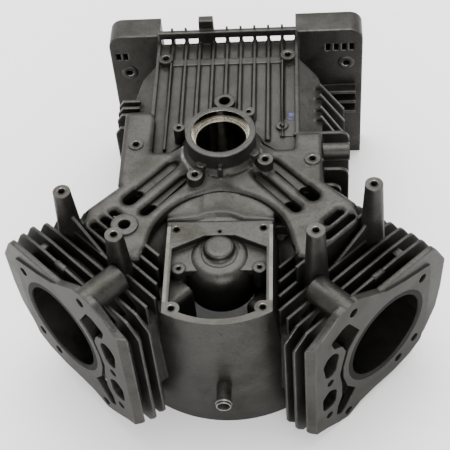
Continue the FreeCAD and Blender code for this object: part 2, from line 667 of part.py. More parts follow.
for step in (-4, -3, 0, 1, 2, 3, 4):
    spike = [(back, 120), (back, size.guard_top + 4), (back + 10, size.guard_top - 14), (back + 10, 120)]
    solids.append(side_slab("rear_rib_%d" % (step + 5), spike, "%d * deck_fin_pitch - 1" % step, "2"))
tab = [(-27, 110), (-25.5, size.guard_top + 10), (-12.5, size.guard_top + 10), (-11, 110)]
solids.append(cross_slab("tab", tab, "case_rear + 6", "7"))

close_group("deck_group")

# Rear wings, hollow and open at the bottom

WINGS = {LEFT: (size.wing_inner, size.wing_left), RIGHT: (size.wing_inner, size.wing_right)}
for side, (near, far) in WINGS.items():
    word = SIDES[side]
    top, turn = size.wing_top, size.wing_round
    body = [(side * near, 0), (side * near, top), (side * far, top, turn), (side * far, 0)]
    wall = size.wall - 1
    room = [(side * (near + wall), -1), (side * (near + wall), top - wall),
            (side * (far - wall), top - wall, turn - wall), (side * (far - wall), -1)]
    outside = cross_slab(word + "_wing_block", body, "150 + wing_depth", "wing_depth")
    inside = cross_slab(word + "_wing_room", room, "150 + wing_depth - wall + 1", "wing_depth - 2 * wall + 2")
    solids.append(cut(word + "_wing", outside, inside))
WING_SLOTS = {LEFT: ((-103.3, 134), (-96.7, 134)), RIGHT: ((92, 137.5), (99.5, 137.5), (106.8, 137.5), (113.7, 137.5))}
WING_HOLES = {LEFT: (-95.3, 115), RIGHT: (108.8, 118.7)}
for side, places in WING_SLOTS.items():
    word = SIDES[side]
    for number, (x, z) in enumerate(places, start=1):
        corners = [(x - 2, z - 4), (x - 2, z + 4), (x + 2, z + 4), (x + 2, z - 4)]
        final.append(cross_slab("%s_wing_slot_%d" % (word, number), corners, "150 + wall + 1", "wall + 2"))
    x, z = WING_HOLES[side]
    boss = bar(word + "_wing_boss", str(x), "149", str(z), "7", "14", Vector(0, 1, 0))
    solids.append(boss)
    final.append(bar(word + "_wing_hole", str(x), "148", str(z), "small_hole + 0.3", "13", Vector(0, 1, 0)))

close_group("wing_group")

# Side ribs, the sideways boss on the right and the ribs under the right wing

for number, y in enumerate((76, 67.5, 59, 43), start=1):
    corners = [(-left + 8, 0), (-left + 8, size.rib_top - 4), (-size.rib_left + 5, size.rib_top - 4),
               (-size.rib_left, size.rib_top - 11), (-size.rib_left, 0)]
    solids.append(cross_slab("left_rib_%d" % number, corners, "%s + rib_thick / 2" % y, "rib_thick"))
for number, y in enumerate((90, 77, 62, 50), start=1):
    drop = size.rib_top - 33 - 2 * number
    corners = [(right - 8, 0), (right - 8, size.deck_top - 8), (right, size.deck_top - 1),
               (size.rib_right - 2, drop), (size.rib_right - 2, 0)]
    solids.append(cross_slab("right_rib_%d" % number, corners, "%s + rib_thick / 2" % y, "rib_thick"))
for number, (y, reach) in enumerate(((26, size.rib_right), (-16, size.rib_right - 2), (-34, size.rib_right - 9)),
                                    start=5):
    corners = [(60, 60), (60, size.rib_top), (reach, size.rib_top, 8), (reach, 0), (right - 8, 0), (right - 8, 60)]
    solids.append(cross_slab("right_rib_%d" % number, corners, "%s + rib_thick / 2" % y, "rib_thick"))
solids.append(bar("side_boss", "62", "5", "deck_top + 1", "7.4", "rib_right - 62.5", Vector(1, 0, 0)))
final.append(bar("side_boss_hole", "rib_right - 20", "5", "deck_top + 1", "small_hole + 0.6", "21", Vector(1, 0, 0)))
for number, z in enumerate((89, 77, 64), start=1):
    solids.append(block("shelf_%d" % number, "case_right - 4", "140", str(z - 1.5), "38", "12", "3"))

close_group("rib_group")

# Breather box: panel, floor, cam bearing dome and screw bosses

back, across = size.rim_back, size.housing_half - 2.5
panel = [(-across, -back), (across, -back), (across, -100), (12, -86), (-12, -86), (-across, -100)]
panel_floor = "housing_top - panel_drop"
inner.append(flat("breather_panel", rounded(panel), panel_floor + " - 1", "panel_drop + 1"))
inner.append(block("breather_floor", "-%s" % across, "-117", "%s - 6" % panel_floor, "2 * %s" % across,
                   "117 - rim_back", "6"))
inner.append(bar("cam_dome", "0", "-cam_axis - 2", "housing_top - 46", "dome_radius", "46 - dome_height - 1"))
inner.append(taper("cam_dome_side", "0", "-cam_axis - 2", "housing_top - dome_height - 1", "dome_radius", "21",
                   "9"))
inner.append(taper("cam_dome_top", "0", "-cam_axis - 2", "housing_top - dome_height + 8", "21", "cam_boss + 2",
                   "5"))
inner.append(bar("cam_cap", "0", "-cam_axis + 1", "housing_top - 6", "cam_boss", "7.5"))
for number, x in enumerate((-32, 32), start=1):
    inner.append(bar("inner_boss_%d" % number, str(x), "-115", "housing_top - 25", "5.5", "20"))
    final.append(bar("inner_boss_hole_%d" % number, str(x), "-115", "housing_top - 17", "1.8", "13"))
RIM_BOSSES = (("back", "rim_hole_back"), ("front", "rim_hole_front"))
for word, reach in RIM_BOSSES:
    for number, sign in enumerate(("-", ""), start=1):
        x, y = sign + "rim_hole_across / 2", "-" + reach
        inner.append(bar("%s_rim_boss_%d" % (word, number), x, y, "housing_top - 22", "rim_boss", "22"))
        final.append(bar("%s_rim_hole_%d" % (word, number), x, y, "housing_top - 16", "rim_hole", "17"))
final.append(bar("vent_hole", "0", "-82", "housing_top - 9", "1.5", "10"))
final.append(bar("cam_pocket", "0", "-cam_axis - 2", "housing_top - 47", "small_hole + 7", "26"))
final.append(bar("tube_hole", "0", "-housing_nose + 15", "tube_axis", "tube_radius", "18", Vector(0, -1, 0)))

# Sump face: screw holes in the flange and two bosses in the front corners

SUMP_HOLES = ((-1, -38), (-1, 32), (-1, 102), (1, -38), (1, 32), (1, 102))
for number, (sign, y) in enumerate(SUMP_HOLES, start=1):
    x = "%d * (case_left + sump_flange_reach / 2 + 0.5)" % sign
    final.append(bar("sump_hole_%d" % number, x, str(y), "-1", "sump_hole", "sump_flange_thick + 2"))
for number, x in enumerate((-44, 44), start=1):
    inner.append(bar("sump_boss_%d" % number, str(x), "-138", "0", "8.5", "40"))
    final.append(bar("sump_boss_hole_%d" % number, str(x), "-138", "-1", "sump_hole", "25"))

# The casting

shell = cut("shell", fuse("outside", groups), fuse("hollows", cuts))
shell.Refine = False
casting = cut("crankcase", fuse("filled", [shell] + inner), fuse("machined", final))

# Cast-in liners, main bearing bush and breather tube


def ring_body(name, place, turn, outer, bore, length):
    """Plain ring: a sketch of two circles, padded along its axis."""
    body = doc.addObject("PartDesign::Body", name)
    base = body.newObject("Sketcher::SketchObject", name + "_outline")
    plane = [f for f in body.Origin.OriginFeatures if f.Role == "XY_Plane"][0]
    base.AttachmentSupport = (plane, [""])
    base.MapMode = "FlatFace"
    base.addGeometry([Part.Circle(Vector(), UP, 10), Part.Circle(Vector(), UP, 8)], False)
    for index, (label, text) in enumerate((("outer", outer), ("bore", bore))):
        base.addConstraint(Sketcher.Constraint("Coincident", index, 3, -1, 1))
        number = base.addConstraint(Sketcher.Constraint("Radius", index, 10 - 2 * index))
        base.renameConstraint(number, label)
        base.setExpression("Constraints." + label, cell(text))
    pad = body.newObject("PartDesign::Pad", name + "_pad")
    pad.Profile = base
    tie(pad, Length=length)
    return put(body, *place, turn=turn)


nodes = {"crankcase": casting}
for side in SIDES:
    name = "cylinder_liner_" + SIDES[side]
    nodes[name] = ring_body(name, bank_place(side, "0", "0", "deck_reach - liner_length"),
                            Rotation(UP, outward(side)), "bore_radius + liner_thick", "bore_radius",
                            "liner_length")
nodes["main_bearing_bush"] = ring_body(
    "main_bearing_bush", ("0", "0", "case_height - seal_depth - bush_length"), Rotation(),
    "crank_radius + bush_thick", "crank_radius", "bush_length")
tube_start = size.housing_nose - 14
tube_end = size.housing_nose_low + 3 + size.tube_stand
outer, bead = size.tube_radius, size.tube_radius + size.tube_bead
profile = [
    (outer - size.tube_wall, tube_start), (outer, tube_start), (outer, tube_end - 5), (bead, tube_end - 4),
    (bead, tube_end - 3), (outer, tube_end - 2), (outer, tube_end), (outer - size.tube_wall, tube_end),
]
half = sketch("breather_tube_profile", rounded(profile))
tube = doc.addObject("Part::Revolution", "breather_tube")
tube.Source = half
tube.Axis = Vector(0, 1, 0)
tube.Angle = 360
tube.Solid = True
put(tube, "0", "0", "tube_axis", Rotation(Vector(1, 0, 0), 180))
nodes["breather_tube"] = tube
doc.recompute()

for thing in doc.Objects:
    if "Invalid" in thing.State or "Error" in thing.State:
        raise RuntimeError("%s did not build: %s" % (thing.Name, thing.State))
for name, thing in nodes.items():
    thing.Label = name
    shape = thing.Shape
    if shape.isNull() or not shape.isValid() or len(shape.Solids) != 1:
        raise RuntimeError("%s is not one sound solid" % name)
os.makedirs("parts", exist_ok=True)
for name, thing in nodes.items():
    thing.Shape.exportStep("parts/%s.step" % name)
    print(name, round(thing.Shape.Volume), len(thing.Shape.Faces), thing.Shape.BoundBox)
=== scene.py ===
import math

import bmesh
import bpy
from bpy.props import FloatProperty, FloatVectorProperty, IntProperty, PointerProperty
from mathutils import Matrix, Vector
from mathutils.kdtree import KDTree


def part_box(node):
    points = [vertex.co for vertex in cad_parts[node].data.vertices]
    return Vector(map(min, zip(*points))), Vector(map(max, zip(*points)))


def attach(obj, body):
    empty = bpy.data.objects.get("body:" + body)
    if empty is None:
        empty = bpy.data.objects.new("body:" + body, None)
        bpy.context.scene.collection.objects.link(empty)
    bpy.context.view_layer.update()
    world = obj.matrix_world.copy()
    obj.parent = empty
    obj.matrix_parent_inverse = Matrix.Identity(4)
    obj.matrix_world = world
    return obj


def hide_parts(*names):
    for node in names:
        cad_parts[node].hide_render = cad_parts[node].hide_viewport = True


bl_info = {
    "name": "V-twin Crankcase Finish",
    "version": (1, 0, 0),
    "blender": (4, 5, 0),
    "location": "View3D > Sidebar > Crankcase",
    "description": "Cast, machined and worn surfaces for a die-cast V-twin crankcase",
    "category": "Object",
}

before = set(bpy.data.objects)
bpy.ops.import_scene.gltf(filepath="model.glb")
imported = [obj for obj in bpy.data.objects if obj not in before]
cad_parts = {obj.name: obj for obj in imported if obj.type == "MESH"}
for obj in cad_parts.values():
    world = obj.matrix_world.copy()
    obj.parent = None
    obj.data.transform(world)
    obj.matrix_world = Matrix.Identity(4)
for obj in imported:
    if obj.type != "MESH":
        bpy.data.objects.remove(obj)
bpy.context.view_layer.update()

MM = 0.001

# Where the machined features lie, in millimetres in the casting's own frame
DECK_REACH = 186.3
BANK_AXIS = {-1: 93.0, 1: 75.0}
BORE, LINER_OUTSIDE, LINER_LENGTH = 39.0, 44.5, 92.0
CRANK_TOP, SEAL_RADIUS, SEAL_DEPTH = 182.0, 24.1, 8.3
BUSH_BORE, BUSH_OUTSIDE, BUSH_LENGTH = 20.5, 22.5, 36.0
RIM_TOP, RIM_HALF, RIM_STRIP, RIM_REAR, RIM_FRONT = 151.0, 42.5, 39.7, -76.0, -151.5
POST_TOP, POST_REACH, POST_OFFSET, POST_HOLE = 196.5, 139.7, 32.0, 2.8
WING_FACE = 149.0
TUBE_AXIS, TUBE_RADIUS, TUBE_BORE = 58.0, 6.2, 5.0
PLATE_TOP, ARCH_CENTRE, ARCH_RADIUS = 157.0, -100.0, 57.5
DOME_CENTRE, CAP_CENTRE = -102.0, -99.0
RING_BOSS, RING_BOSS_RADIUS, BOSS_CLEARANCE = (-76.4, -79.2), 11, 9

# Deck fins: where they stand, half width in the solid, half widths given at foot and tip, and how far they are lowered
DECK_TOP, FIN_TOP, FIN_PITCH = 148.0, 152.5, 12.6
FIN_SPREAD, FIN_FRONT, FIN_REAR = 64, 15, 149
FIN_HALF, FIN_FOOT, FIN_TIP, FIN_LOWERED = 1.0, 2.9, 1.0, 2.0

# Crank boss: radius at the plate, slope of its cone, and the height and width of the plate's rise into it
BOSS_FOOT, BOSS_SLOPE, BOSS_RISE, BOSS_BLEND = 35.7, 0.66, 5.0, 11

# Tone of the dirt specks and of the painted shade in the hollows of the bright metals
DIRT_AND_SHADE = (0.03, 0.026, 0.021)

# Grid that the spider plate's top is cut into: step, then the first cut and the number of cuts across x and y
PLATE_STEP = 1.5
PLATE_CUTS = ((-118, 158), (-115, 120))

# Cast blocks on the outermost barrel fins: reach along u, s and v of a bank
FIN_PADS = (((-10.0, 1.5), (168.4, 173.6), (50.0, 64.0)), ((-37.5, -31.0), (161.0, 171.0), (38.0, 57.5)))

# Finishes of the casting's faces, in the order of its materials
CAST, MILLED, BORED, GASKET = range(4)

# Ridge of the folded crown behind the breather rim: x, y, z
RIDGE = ((-44.0, -66.0, 149.4), (-30.0, -66.6, 150.8), (-19.0, -66.2, 151.4), (-13.0, -64.0, 152.4),
         (-3.0, -62.6, 152.8), (7.0, -63.2, 152.8), (13.0, -65.4, 152.0), (19.0, -67.6, 151.2),
         (36.0, -68.6, 150.4), (44.0, -68.8, 149.4))

# Crown: its grid, its height along the arch and how that falls to the sides, its raised panel and its hollow,
# then the lip in front of the ridge as distance ahead and drop, the wall that it stops at and its underside
CROWN_STEP, CROWN_SIDE, CROWN_ROWS = 1.5, 29, 11
CROWN_BACK, CROWN_BOW, CROWN_HALF, CROWN_OVERLAP = 153.4, 2.5, 44, 1.5
PANEL_LEFT, PANEL_RIGHT, PANEL_RISE, CROWN_SAG = (-17, -13.5), (14, 17.5), 0.8, 1.1
CROWN_LIP = ((0.7, 0.25), (1.3, 0.8), (1.8, 1.7), (2.3, 2.6), (3.2, 3.1))
CROWN_WALL, CROWN_FOOT = -71.3, 138.8

# Cam bearing dome: foot, centre and radii of its rounded shoulder, and its top, as radius and height
DOME_WALL = [(27.4, 107.0), (27.8, 122.0)]
SHOULDER_CENTRE, SHOULDER_RADII, SHOULDER_STEPS = (17.5, 132.5), (10.3, 14.4), 13
DOME_CROWN = [(14.0, 147.2), (6.0, 147.4)]
CAP_PROFILE = [(16.5, 143.0), (16.5, 146.9), (14.4, 147.3), (13.0, 147.9), (12.2, 148.9), (11.9, 150.2),
               (11.7, 151.4), (11.2, 152.3), (10.3, 152.9), (9.0, 153.1)]

# Bead of the breather tube: height, half width and distance of its outer foot from the mouth
BEAD_HEIGHT, BEAD_HALF, BEAD_START, BEAD_STEPS = 0.8, 1.2, 2.3, 8

# Tapped holes on the upper faces: x, y, top, radius
UPPER_HOLES = (
    (23.0, 22.5, 182.0, 1.8), (-37.2, 22.8, 165.0, 2.0), (-20.8, -34.0, 167.0, 2.9), (36.4, -18.5, 167.0, 2.9),
    (-73.8, 10.9, 158.5, 2.9), (75.2, -11.0, 158.5, 2.9), (-55.3, 123.6, 154.0, 2.9), (55.3, 123.6, 154.0, 2.9),
    (-35.0, -79.0, 151.0, 2.6), (35.0, -79.0, 151.0, 2.6), (-35.0, -158.0, 151.0, 2.6),
    (35.0, -158.0, 151.0, 2.6), (-32.0, -115.0, 146.0, 1.8), (32.0, -115.0, 146.0, 1.8),
)

# Tapped holes in the front faces of the wings: x, z, radius
WING_HOLES = ((-95.3, 115.0, 3.0), (108.8, 118.7, 3.0))

# Milled tops of the tapped bosses: x, y, top
BOSS_TOPS = ((-20.8, -34.0, 167.0), (36.4, -18.5, 167.0), (-73.8, 10.9, 158.5), (75.2, -11.0, 158.5),
             (-55.3, 123.6, 154.0), (55.3, 123.6, 154.0), (-37.2, 22.8, 165.0), (23.0, 22.5, 182.0))

# Paint dots on the deck: x, y, half width, half length
PAINT_DOTS = ((57.7, 51.8, 2.3, 2.2), (57.4, 44.8, 2.5, 2.4))
DOT_SIDES, DOT_SUNK, DOT_PROUD = 16, 0.1, 0.12

# Stage, in metres: name, place, width and share of the key's power of each light, then the camera
FLOOR_REACH, FLOOR_LEVEL = 6.0, -0.0002
LIGHT_AIM = (0.0, 0.0, 0.1)
LIGHTS = (("overhead", (0.0, 0.5, 1.5), 1.4, 1.0), ("front_fill", (0.3, -1.6, 0.9), 1.2, 0.62),
          ("rear_fill", (-1.0, 1.5, 0.7), 1.2, 0.15))
CAMERA_PLACE, CAMERA_SHIFT = (0.070412, -0.708562, 0.886906), (0.0548, 0.0358)
CAMERA_RIGHT, CAMERA_LOOK = (0.9959, 0.0413, -0.0812), (-0.0888, 0.6398, -0.7634)


def outward(side):
    return Vector((side * math.sqrt(0.5), -math.sqrt(0.5), 0.0))


def bank_point(side, u, v, s):
    """Point of a bank in millimetres: u across, v up from the cylinder axis, s outwards."""
    root = math.sqrt(0.5)
    return Vector((side * (s - u) * root, -(s + u) * root, BANK_AXIS[side] + v))


# Settings that a user would change

class CastingSettings(bpy.types.PropertyGroup):
    edge_round: FloatProperty(name="Edge Rounding", description="Radius that the cast edges are shaded with",
                              default=0.0024, min=0.0, max=0.004, unit="LENGTH", precision=5)
    cast_light: FloatVectorProperty(name="Cast Light", description="Lighter tone of the cast skin",
                                    default=(0.052, 0.0505, 0.0465), subtype="COLOR", min=0.0, max=1.0)
    cast_dark: FloatVectorProperty(name="Cast Dark", description="Darker tone of the cast skin",
                                   default=(0.031, 0.03, 0.027), subtype="COLOR", min=0.0, max=1.0)
    machined: FloatVectorProperty(name="Machined", description="Tone of the milled faces",
                                  default=(0.058, 0.0555, 0.05), subtype="COLOR", min=0.0, max=1.0)
    # Painted shade: this dark tone fills corners and deep gaps, and it also colours the random dirt specks.
    dirt_and_shade: FloatVectorProperty(name="Dirt And Shade", description="Tone of the corners and deep gaps",
                               default=(0.0115, 0.0114, 0.009), subtype="COLOR", min=0.0, max=1.0)
    # Painted highlight: this light tone brightens the exposed edges, partly as edge wear.
    rubbed_and_highlit: FloatVectorProperty(name="Rubbed And Highlit", description="Tone of the rubbed edges", default=(0.15, 0.147, 0.14),
                                subtype="COLOR", min=0.0, max=1.0)
    # Painted shade: how far from a wall the darkening reaches.
    shade_reach: FloatProperty(name="Shade Reach", description="How far a wall darkens what is beside it",
                               default=0.022, min=0.001, max=0.1, unit="LENGTH", precision=4)
    rim: FloatVectorProperty(name="Gasket Rim", description="Tone of the scraped breather rim",
                             default=(0.1, 0.096, 0.086), subtype="COLOR", min=0.0, max=1.0)
    plate_drop: FloatProperty(name="Plate Drop", description="How far the spider plate falls at its edges",
                              default=0.0022, min=0.0, max=0.004, unit="LENGTH", precision=4)
    plate_reach: FloatProperty(name="Plate Rounding", description="Width of the spider plate's rounded edge",
                               default=0.0045, min=0.001, max=0.01, unit="LENGTH", precision=4)


class ThreadSettings(bpy.types.PropertyGroup):
    pitch: FloatProperty(name="Pitch", description="Thread pitch as a share of the hole radius", default=0.34,
                         min=0.1, max=1.0)
    tooth: FloatProperty(name="Tooth", description="Thread depth as a share of the hole radius", default=0.16,
                         min=0.02, max=0.5)
    turns: IntProperty(name="Turns", description="Threads seen in each hole", default=9, min=1, max=20)
    rim: FloatProperty(name="Rim", description="Width of the bright countersink as a share of the hole radius",
                       default=0.14, min=0.0, max=0.5)


class RingSettings(bpy.types.PropertyGroup):
    iron: FloatVectorProperty(name="Iron", description="Tone of the honed liners", default=(0.026, 0.025, 0.0235),
                              subtype="COLOR", min=0.0, max=1.0)
    bush: FloatVectorProperty(name="Bush", description="Tone of the bush bore", default=(0.24, 0.222, 0.18),
                              subtype="COLOR", min=0.0, max=1.0)
    tube: FloatVectorProperty(name="Tube", description="Tone of the breather tube", default=(0.17, 0.162, 0.15),
                              subtype="COLOR", min=0.0, max=1.0)
    chamfer: FloatProperty(name="Bore Chamfer", description="Chamfer at the mouth of each bore", default=0.0008,
                           min=0.0, max=0.003, unit="LENGTH", precision=5)
    segments: IntProperty(name="Segments", description="Sides of the turned pieces", default=128, min=24, max=256)


class MarkSettings(bpy.types.PropertyGroup):
    paint: FloatVectorProperty(name="Paint", description="Inspection paint dots", default=(0.008, 0.018, 0.13),
                               subtype="COLOR", min=0.0, max=1.0)


class StageSettings(bpy.types.PropertyGroup):
    floor: FloatVectorProperty(name="Floor", description="Tone of the floor", default=(0.96, 0.96, 0.96),
                               subtype="COLOR", min=0.0, max=1.0)
    sky: FloatProperty(name="Sky", description="Strength of the surrounding light", default=1.4, min=0.0, max=5.0)
    key_power: FloatProperty(name="Key", description="Power of the overhead light", default=40.0, min=0.0,
                             max=200.0, unit="POWER")
    lens: FloatProperty(name="Lens", description="Focal length of the camera", default=96.95, min=10.0, max=300.0,
                        unit="CAMERA")


SETTINGS = (("crankcase_casting", CastingSettings), ("crankcase_threads", ThreadSettings),
            ("crankcase_rings", RingSettings), ("crankcase_marks", MarkSettings),
            ("crankcase_stage", StageSettings))


# Small tools for node trees

def new_socket(tree, name, way, kind, value=None):
    item = tree.interface.new_socket(name=name, in_out=way, socket_type=kind)
    if value is not None:
        item.default_value = value
    return item


def add(tree, kind, inputs=(), **props):
    """Node with its properties set and its inputs linked to sockets or given values."""
    node = tree.nodes.new(kind)
    for name, value in props.items():
        setattr(node, name, value)
    for key, value in dict(inputs).items():
        if isinstance(value, bpy.types.NodeSocket):
            tree.links.new(value, node.inputs[key])
        else:
            node.inputs[key].default_value = value
    return node


def mix_colour(tree, factor, first, second, blend="MIX"):
    node = add(tree, "ShaderNodeMix", {0: factor}, data_type="RGBA", blend_type=blend)
    for index, value in ((6, first), (7, second)):
        if isinstance(value, bpy.types.NodeSocket):
            tree.links.new(value, node.inputs[index])
        else:
            node.inputs[index].default_value = value
    return node.outputs[2]


def shade(colour):
    return tuple(colour) + (1.0,)


def surface_group():
    """Mottling, grain, stains and dirt specks shared by the metals, with painted shade in corners and gaps, and
    exposed edges lightened by edge wear and painted highlight.
    """
    name = "Metal Surface"
    if name in bpy.data.node_groups:
        return bpy.data.node_groups[name]
    tree = bpy.data.node_groups.new(name, "ShaderNodeTree")
    for label, kind, value in (
            ("Light", "NodeSocketColor", (0.3, 0.3, 0.3, 1)), ("Dark", "NodeSocketColor", (0.1, 0.1, 0.1, 1)),
            ("Dirt And Shade", "NodeSocketColor", (0.03, 0.03, 0.03, 1)), ("Rubbed And Highlit", "NodeSocketColor", (0.4, 0.4, 0.4, 1)),
            ("Patch Scale", "NodeSocketFloat", 30.0), ("Grain Scale", "NodeSocketFloat", 900.0),
            ("Dirt And Shade Amount", "NodeSocketFloat", 0.8), ("Shade Reach", "NodeSocketFloat", 0.02),
            ("Rubbed And Highlit Amount", "NodeSocketFloat", 0.4), ("Edge Radius", "NodeSocketFloat", 0.0007),
            ("Roughness", "NodeSocketFloat", 0.45), ("Roughness Spread", "NodeSocketFloat", 0.15)):
        new_socket(tree, label, "INPUT", kind, value)
    for label, kind in (("Colour", "NodeSocketColor"), ("Roughness", "NodeSocketFloat"),
                        ("Height", "NodeSocketFloat"), ("Normal", "NodeSocketVector")):
        new_socket(tree, label, "OUTPUT", kind)
    given = tree.nodes.new("NodeGroupInput").outputs
    place = add(tree, "ShaderNodeTexCoord").outputs["Object"]

    def noise(scale, detail, roughness, distortion=0.0):
        return add(tree, "ShaderNodeTexNoise", {"Vector": place, "Scale": scale, "Detail": detail,
                                                "Roughness": roughness, "Distortion": distortion}).outputs["Fac"]

    def remap(value, low, high, to_low=0.0, to_high=1.0):
        return add(tree, "ShaderNodeMapRange", {"Value": value, "From Min": low, "From Max": high,
                                                "To Min": to_low, "To Max": to_high}).outputs["Result"]

    def math_node(operation, first, second, third=0.0):
        return add(tree, "ShaderNodeMath", {0: first, 1: second, 2: third}, operation=operation).outputs[0]

    patch = noise(given["Patch Scale"], 5.0, 0.62, 0.4)
    grain = noise(given["Grain Scale"], 3.0, 0.6)
    spread = remap(patch, 0.3, 0.7)
    tone = mix_colour(tree, spread, given["Dark"], given["Light"])
    tone = add(tree, "ShaderNodeVectorMath", {0: tone, "Scale": remap(grain, 0.3, 0.7, 0.82, 1.18)},
               operation="SCALE").outputs[0]

    stain = remap(noise(math_node("MULTIPLY", given["Patch Scale"], 0.42), 5.0, 0.66, 0.9), 0.47, 0.66)
    stained = add(tree, "ShaderNodeVectorMath", {0: tone, 1: (0.6, 0.575, 0.53)}, operation="MULTIPLY").outputs[0]
    tone = mix_colour(tree, stain, tone, stained)

    speck = remap(noise(math_node("MULTIPLY", given["Patch Scale"], 7.0), 4.0, 0.7, 0.8), 0.56, 0.74)
    tone = mix_colour(tree, math_node("MULTIPLY", speck, given["Dirt And Shade Amount"]), tone, given["Dirt And Shade"])

    # Painted shade: ambient occlusion darkens corners, creases and deep gaps toward the dark tone, broken up by the
    # mottling, and makes them rougher.
    open_sky = add(tree, "ShaderNodeAmbientOcclusion", {"Distance": given["Shade Reach"]}, samples=6,
                   only_local=True).outputs["AO"]
    hidden = remap(open_sky, 0.92, 0.3)
    broken = remap(patch, 0.25, 0.6, 0.65, 1.0)
    dirt_and_shade = math_node("MULTIPLY", math_node("MULTIPLY", hidden, broken), given["Dirt And Shade Amount"])
    tone = mix_colour(tree, dirt_and_shade, tone, given["Dirt And Shade"])

    rounded = add(tree, "ShaderNodeBevel", {"Radius": given["Edge Radius"]}, samples=6).outputs["Normal"]
    facet = add(tree, "ShaderNodeNewGeometry").outputs["Normal"]
    # Exposed edges that the bevel rounds are lightened toward the light edge tone, partly as edge wear and partly as a
    # painted highlight, and made a little glossier.
    agree = add(tree, "ShaderNodeVectorMath", {0: rounded, 1: facet}, operation="DOT_PRODUCT").outputs["Value"]
    edge = math_node("MULTIPLY", remap(agree, 0.99, 0.85), remap(open_sky, 0.55, 0.9))
    worn_and_highlit = math_node("MULTIPLY", edge, remap(noise(220.0, 3.0, 0.6), 0.35, 0.6, 0.35, 1.0))
    tone = mix_colour(tree, math_node("MULTIPLY", worn_and_highlit, given["Rubbed And Highlit Amount"]), tone, given["Rubbed And Highlit"])

    rough = math_node("MULTIPLY_ADD", spread, given["Roughness Spread"], given["Roughness"])
    rough = math_node("MULTIPLY_ADD", dirt_and_shade, 0.3, rough)
    rough = math_node("MULTIPLY_ADD", worn_and_highlit, -0.1, rough)
    height = math_node("MULTIPLY_ADD", grain, 0.5, patch)
    put = tree.nodes.new("NodeGroupOutput").inputs
    for label, socket in (("Colour", tone), ("Roughness", rough), ("Height", height), ("Normal", rounded)):
        tree.links.new(socket, put[label])
    return tree


def metal(name, light, dark, dirt_and_shade, rubbed_and_highlit, values, metallic, bump, glancing=1.0):
    """Metal whose tone, gloss and fine relief come from the shared surface group.

    Glancing is the share of the light that a dirty face still mirrors when it is seen at a flat angle.
    """
    made = bpy.data.materials.new(name)
    made.use_nodes = True
    tree = made.node_tree
    tree.nodes.clear()
    group = add(tree, "ShaderNodeGroup", node_tree=surface_group())
    # The dark dirt tone is what the painted shade in hollows darkens toward; the light edge tone is painted highlight
    # and edge wear on exposed edges.
    for label, value in (("Light", light), ("Dark", dark), ("Dirt And Shade", dirt_and_shade), ("Rubbed And Highlit", rubbed_and_highlit)):
        group.inputs[label].default_value = shade(value)
    for label, value in values.items():
        group.inputs[label].default_value = value
    relief = add(tree, "ShaderNodeBump", {"Strength": bump, "Distance": 0.0008, "Height": group.outputs["Height"],
                                          "Normal": group.outputs["Normal"]})
    shader = add(tree, "ShaderNodeBsdfPrincipled", {
        "Base Color": group.outputs["Colour"], "Roughness": group.outputs["Roughness"], "Metallic": metallic,
        "Specular Tint": shade((glancing,) * 3), "Normal": relief.outputs["Normal"]})
    out = add(tree, "ShaderNodeOutputMaterial")
    tree.links.new(shader.outputs[0], out.inputs["Surface"])
    return made


def cast_skin(settings):
    """The casting's own skin, made once and shared by the pieces that are part of the casting."""
    name = "Die-cast Aluminium"
    # Painted shade darkens the skin's corners and gaps, and its exposed edges get painted highlight and edge wear.
    return bpy.data.materials.get(name) or metal(
        name, settings.cast_light, settings.cast_dark, settings.dirt_and_shade, settings.rubbed_and_highlit,
        {"Patch Scale": 34.0, "Grain Scale": 620.0, "Dirt And Shade Amount": 0.8, "Shade Reach": settings.shade_reach,
         "Rubbed And Highlit Amount": 0.5, "Edge Radius": settings.edge_round, "Roughness": 0.33,
         "Roughness Spread": 0.14}, 0.85, 0.3, 0.75)


# Mesh helpers

def finish_piece(mesh, name, materials, body="root", sharp=32.0):
    """Object at the origin for a finished mesh, riding on its body."""
    for polygon in mesh.polygons:
        polygon.use_smooth = True
    mesh.set_sharp_from_angle(angle=math.radians(sharp))
    piece = bpy.data.objects.new(name, mesh)
    bpy.context.scene.collection.objects.link(piece)
    for made in materials:
        mesh.materials.append(made)
    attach(piece, body)
    return piece


def to_mesh(shape, name):
    """Mesh of a finished shape, which is freed."""
    mesh = bpy.data.meshes.new(name)
    shape.to_mesh(mesh)
    shape.free()
    return mesh


def band(shape, first, second):
    """Closed band of faces between two rings of as many vertices."""
    for step in range(len(first)):
        follow = (step + 1) % len(first)
        shape.faces.new((first[step], first[follow], second[follow], second[step]))


def lathe(name, profile, start, axis, segments, capped=False):
    """Mesh turned from a profile of (radius, height) in millimetres: a closed one, or capped at both ends."""
    turn = Vector((0, 0, 1)).rotation_difference(axis).to_matrix().to_4x4()
    place = Matrix.Translation(Vector(start) * MM) @ turn
    shape = bmesh.new()
    rings = []
    for radius, height in profile:
        ring = []
        for step in range(segments):
            angle = 2 * math.pi * step / segments
            spot = Vector((radius * math.cos(angle), radius * math.sin(angle), height)) * MM
            ring.append(shape.verts.new(place @ spot))
        rings.append(ring)
    pairs = list(zip(rings, rings[1:]))
    if capped:
        shape.faces.new(rings[0])
        shape.faces.new(rings[-1])
    else:
        pairs.append((rings[-1], rings[0]))
    for ring, after in pairs:
        band(shape, ring, after)
    bmesh.ops.recalc_face_normals(shape, faces=shape.faces)
    return to_mesh(shape, name)


def ramp(value, low, high):
    """Smooth step from 0 to 1 between two values."""
    share = min(max((value - low) / (high - low), 0.0), 1.0)
    return share * share * (3 - 2 * share)


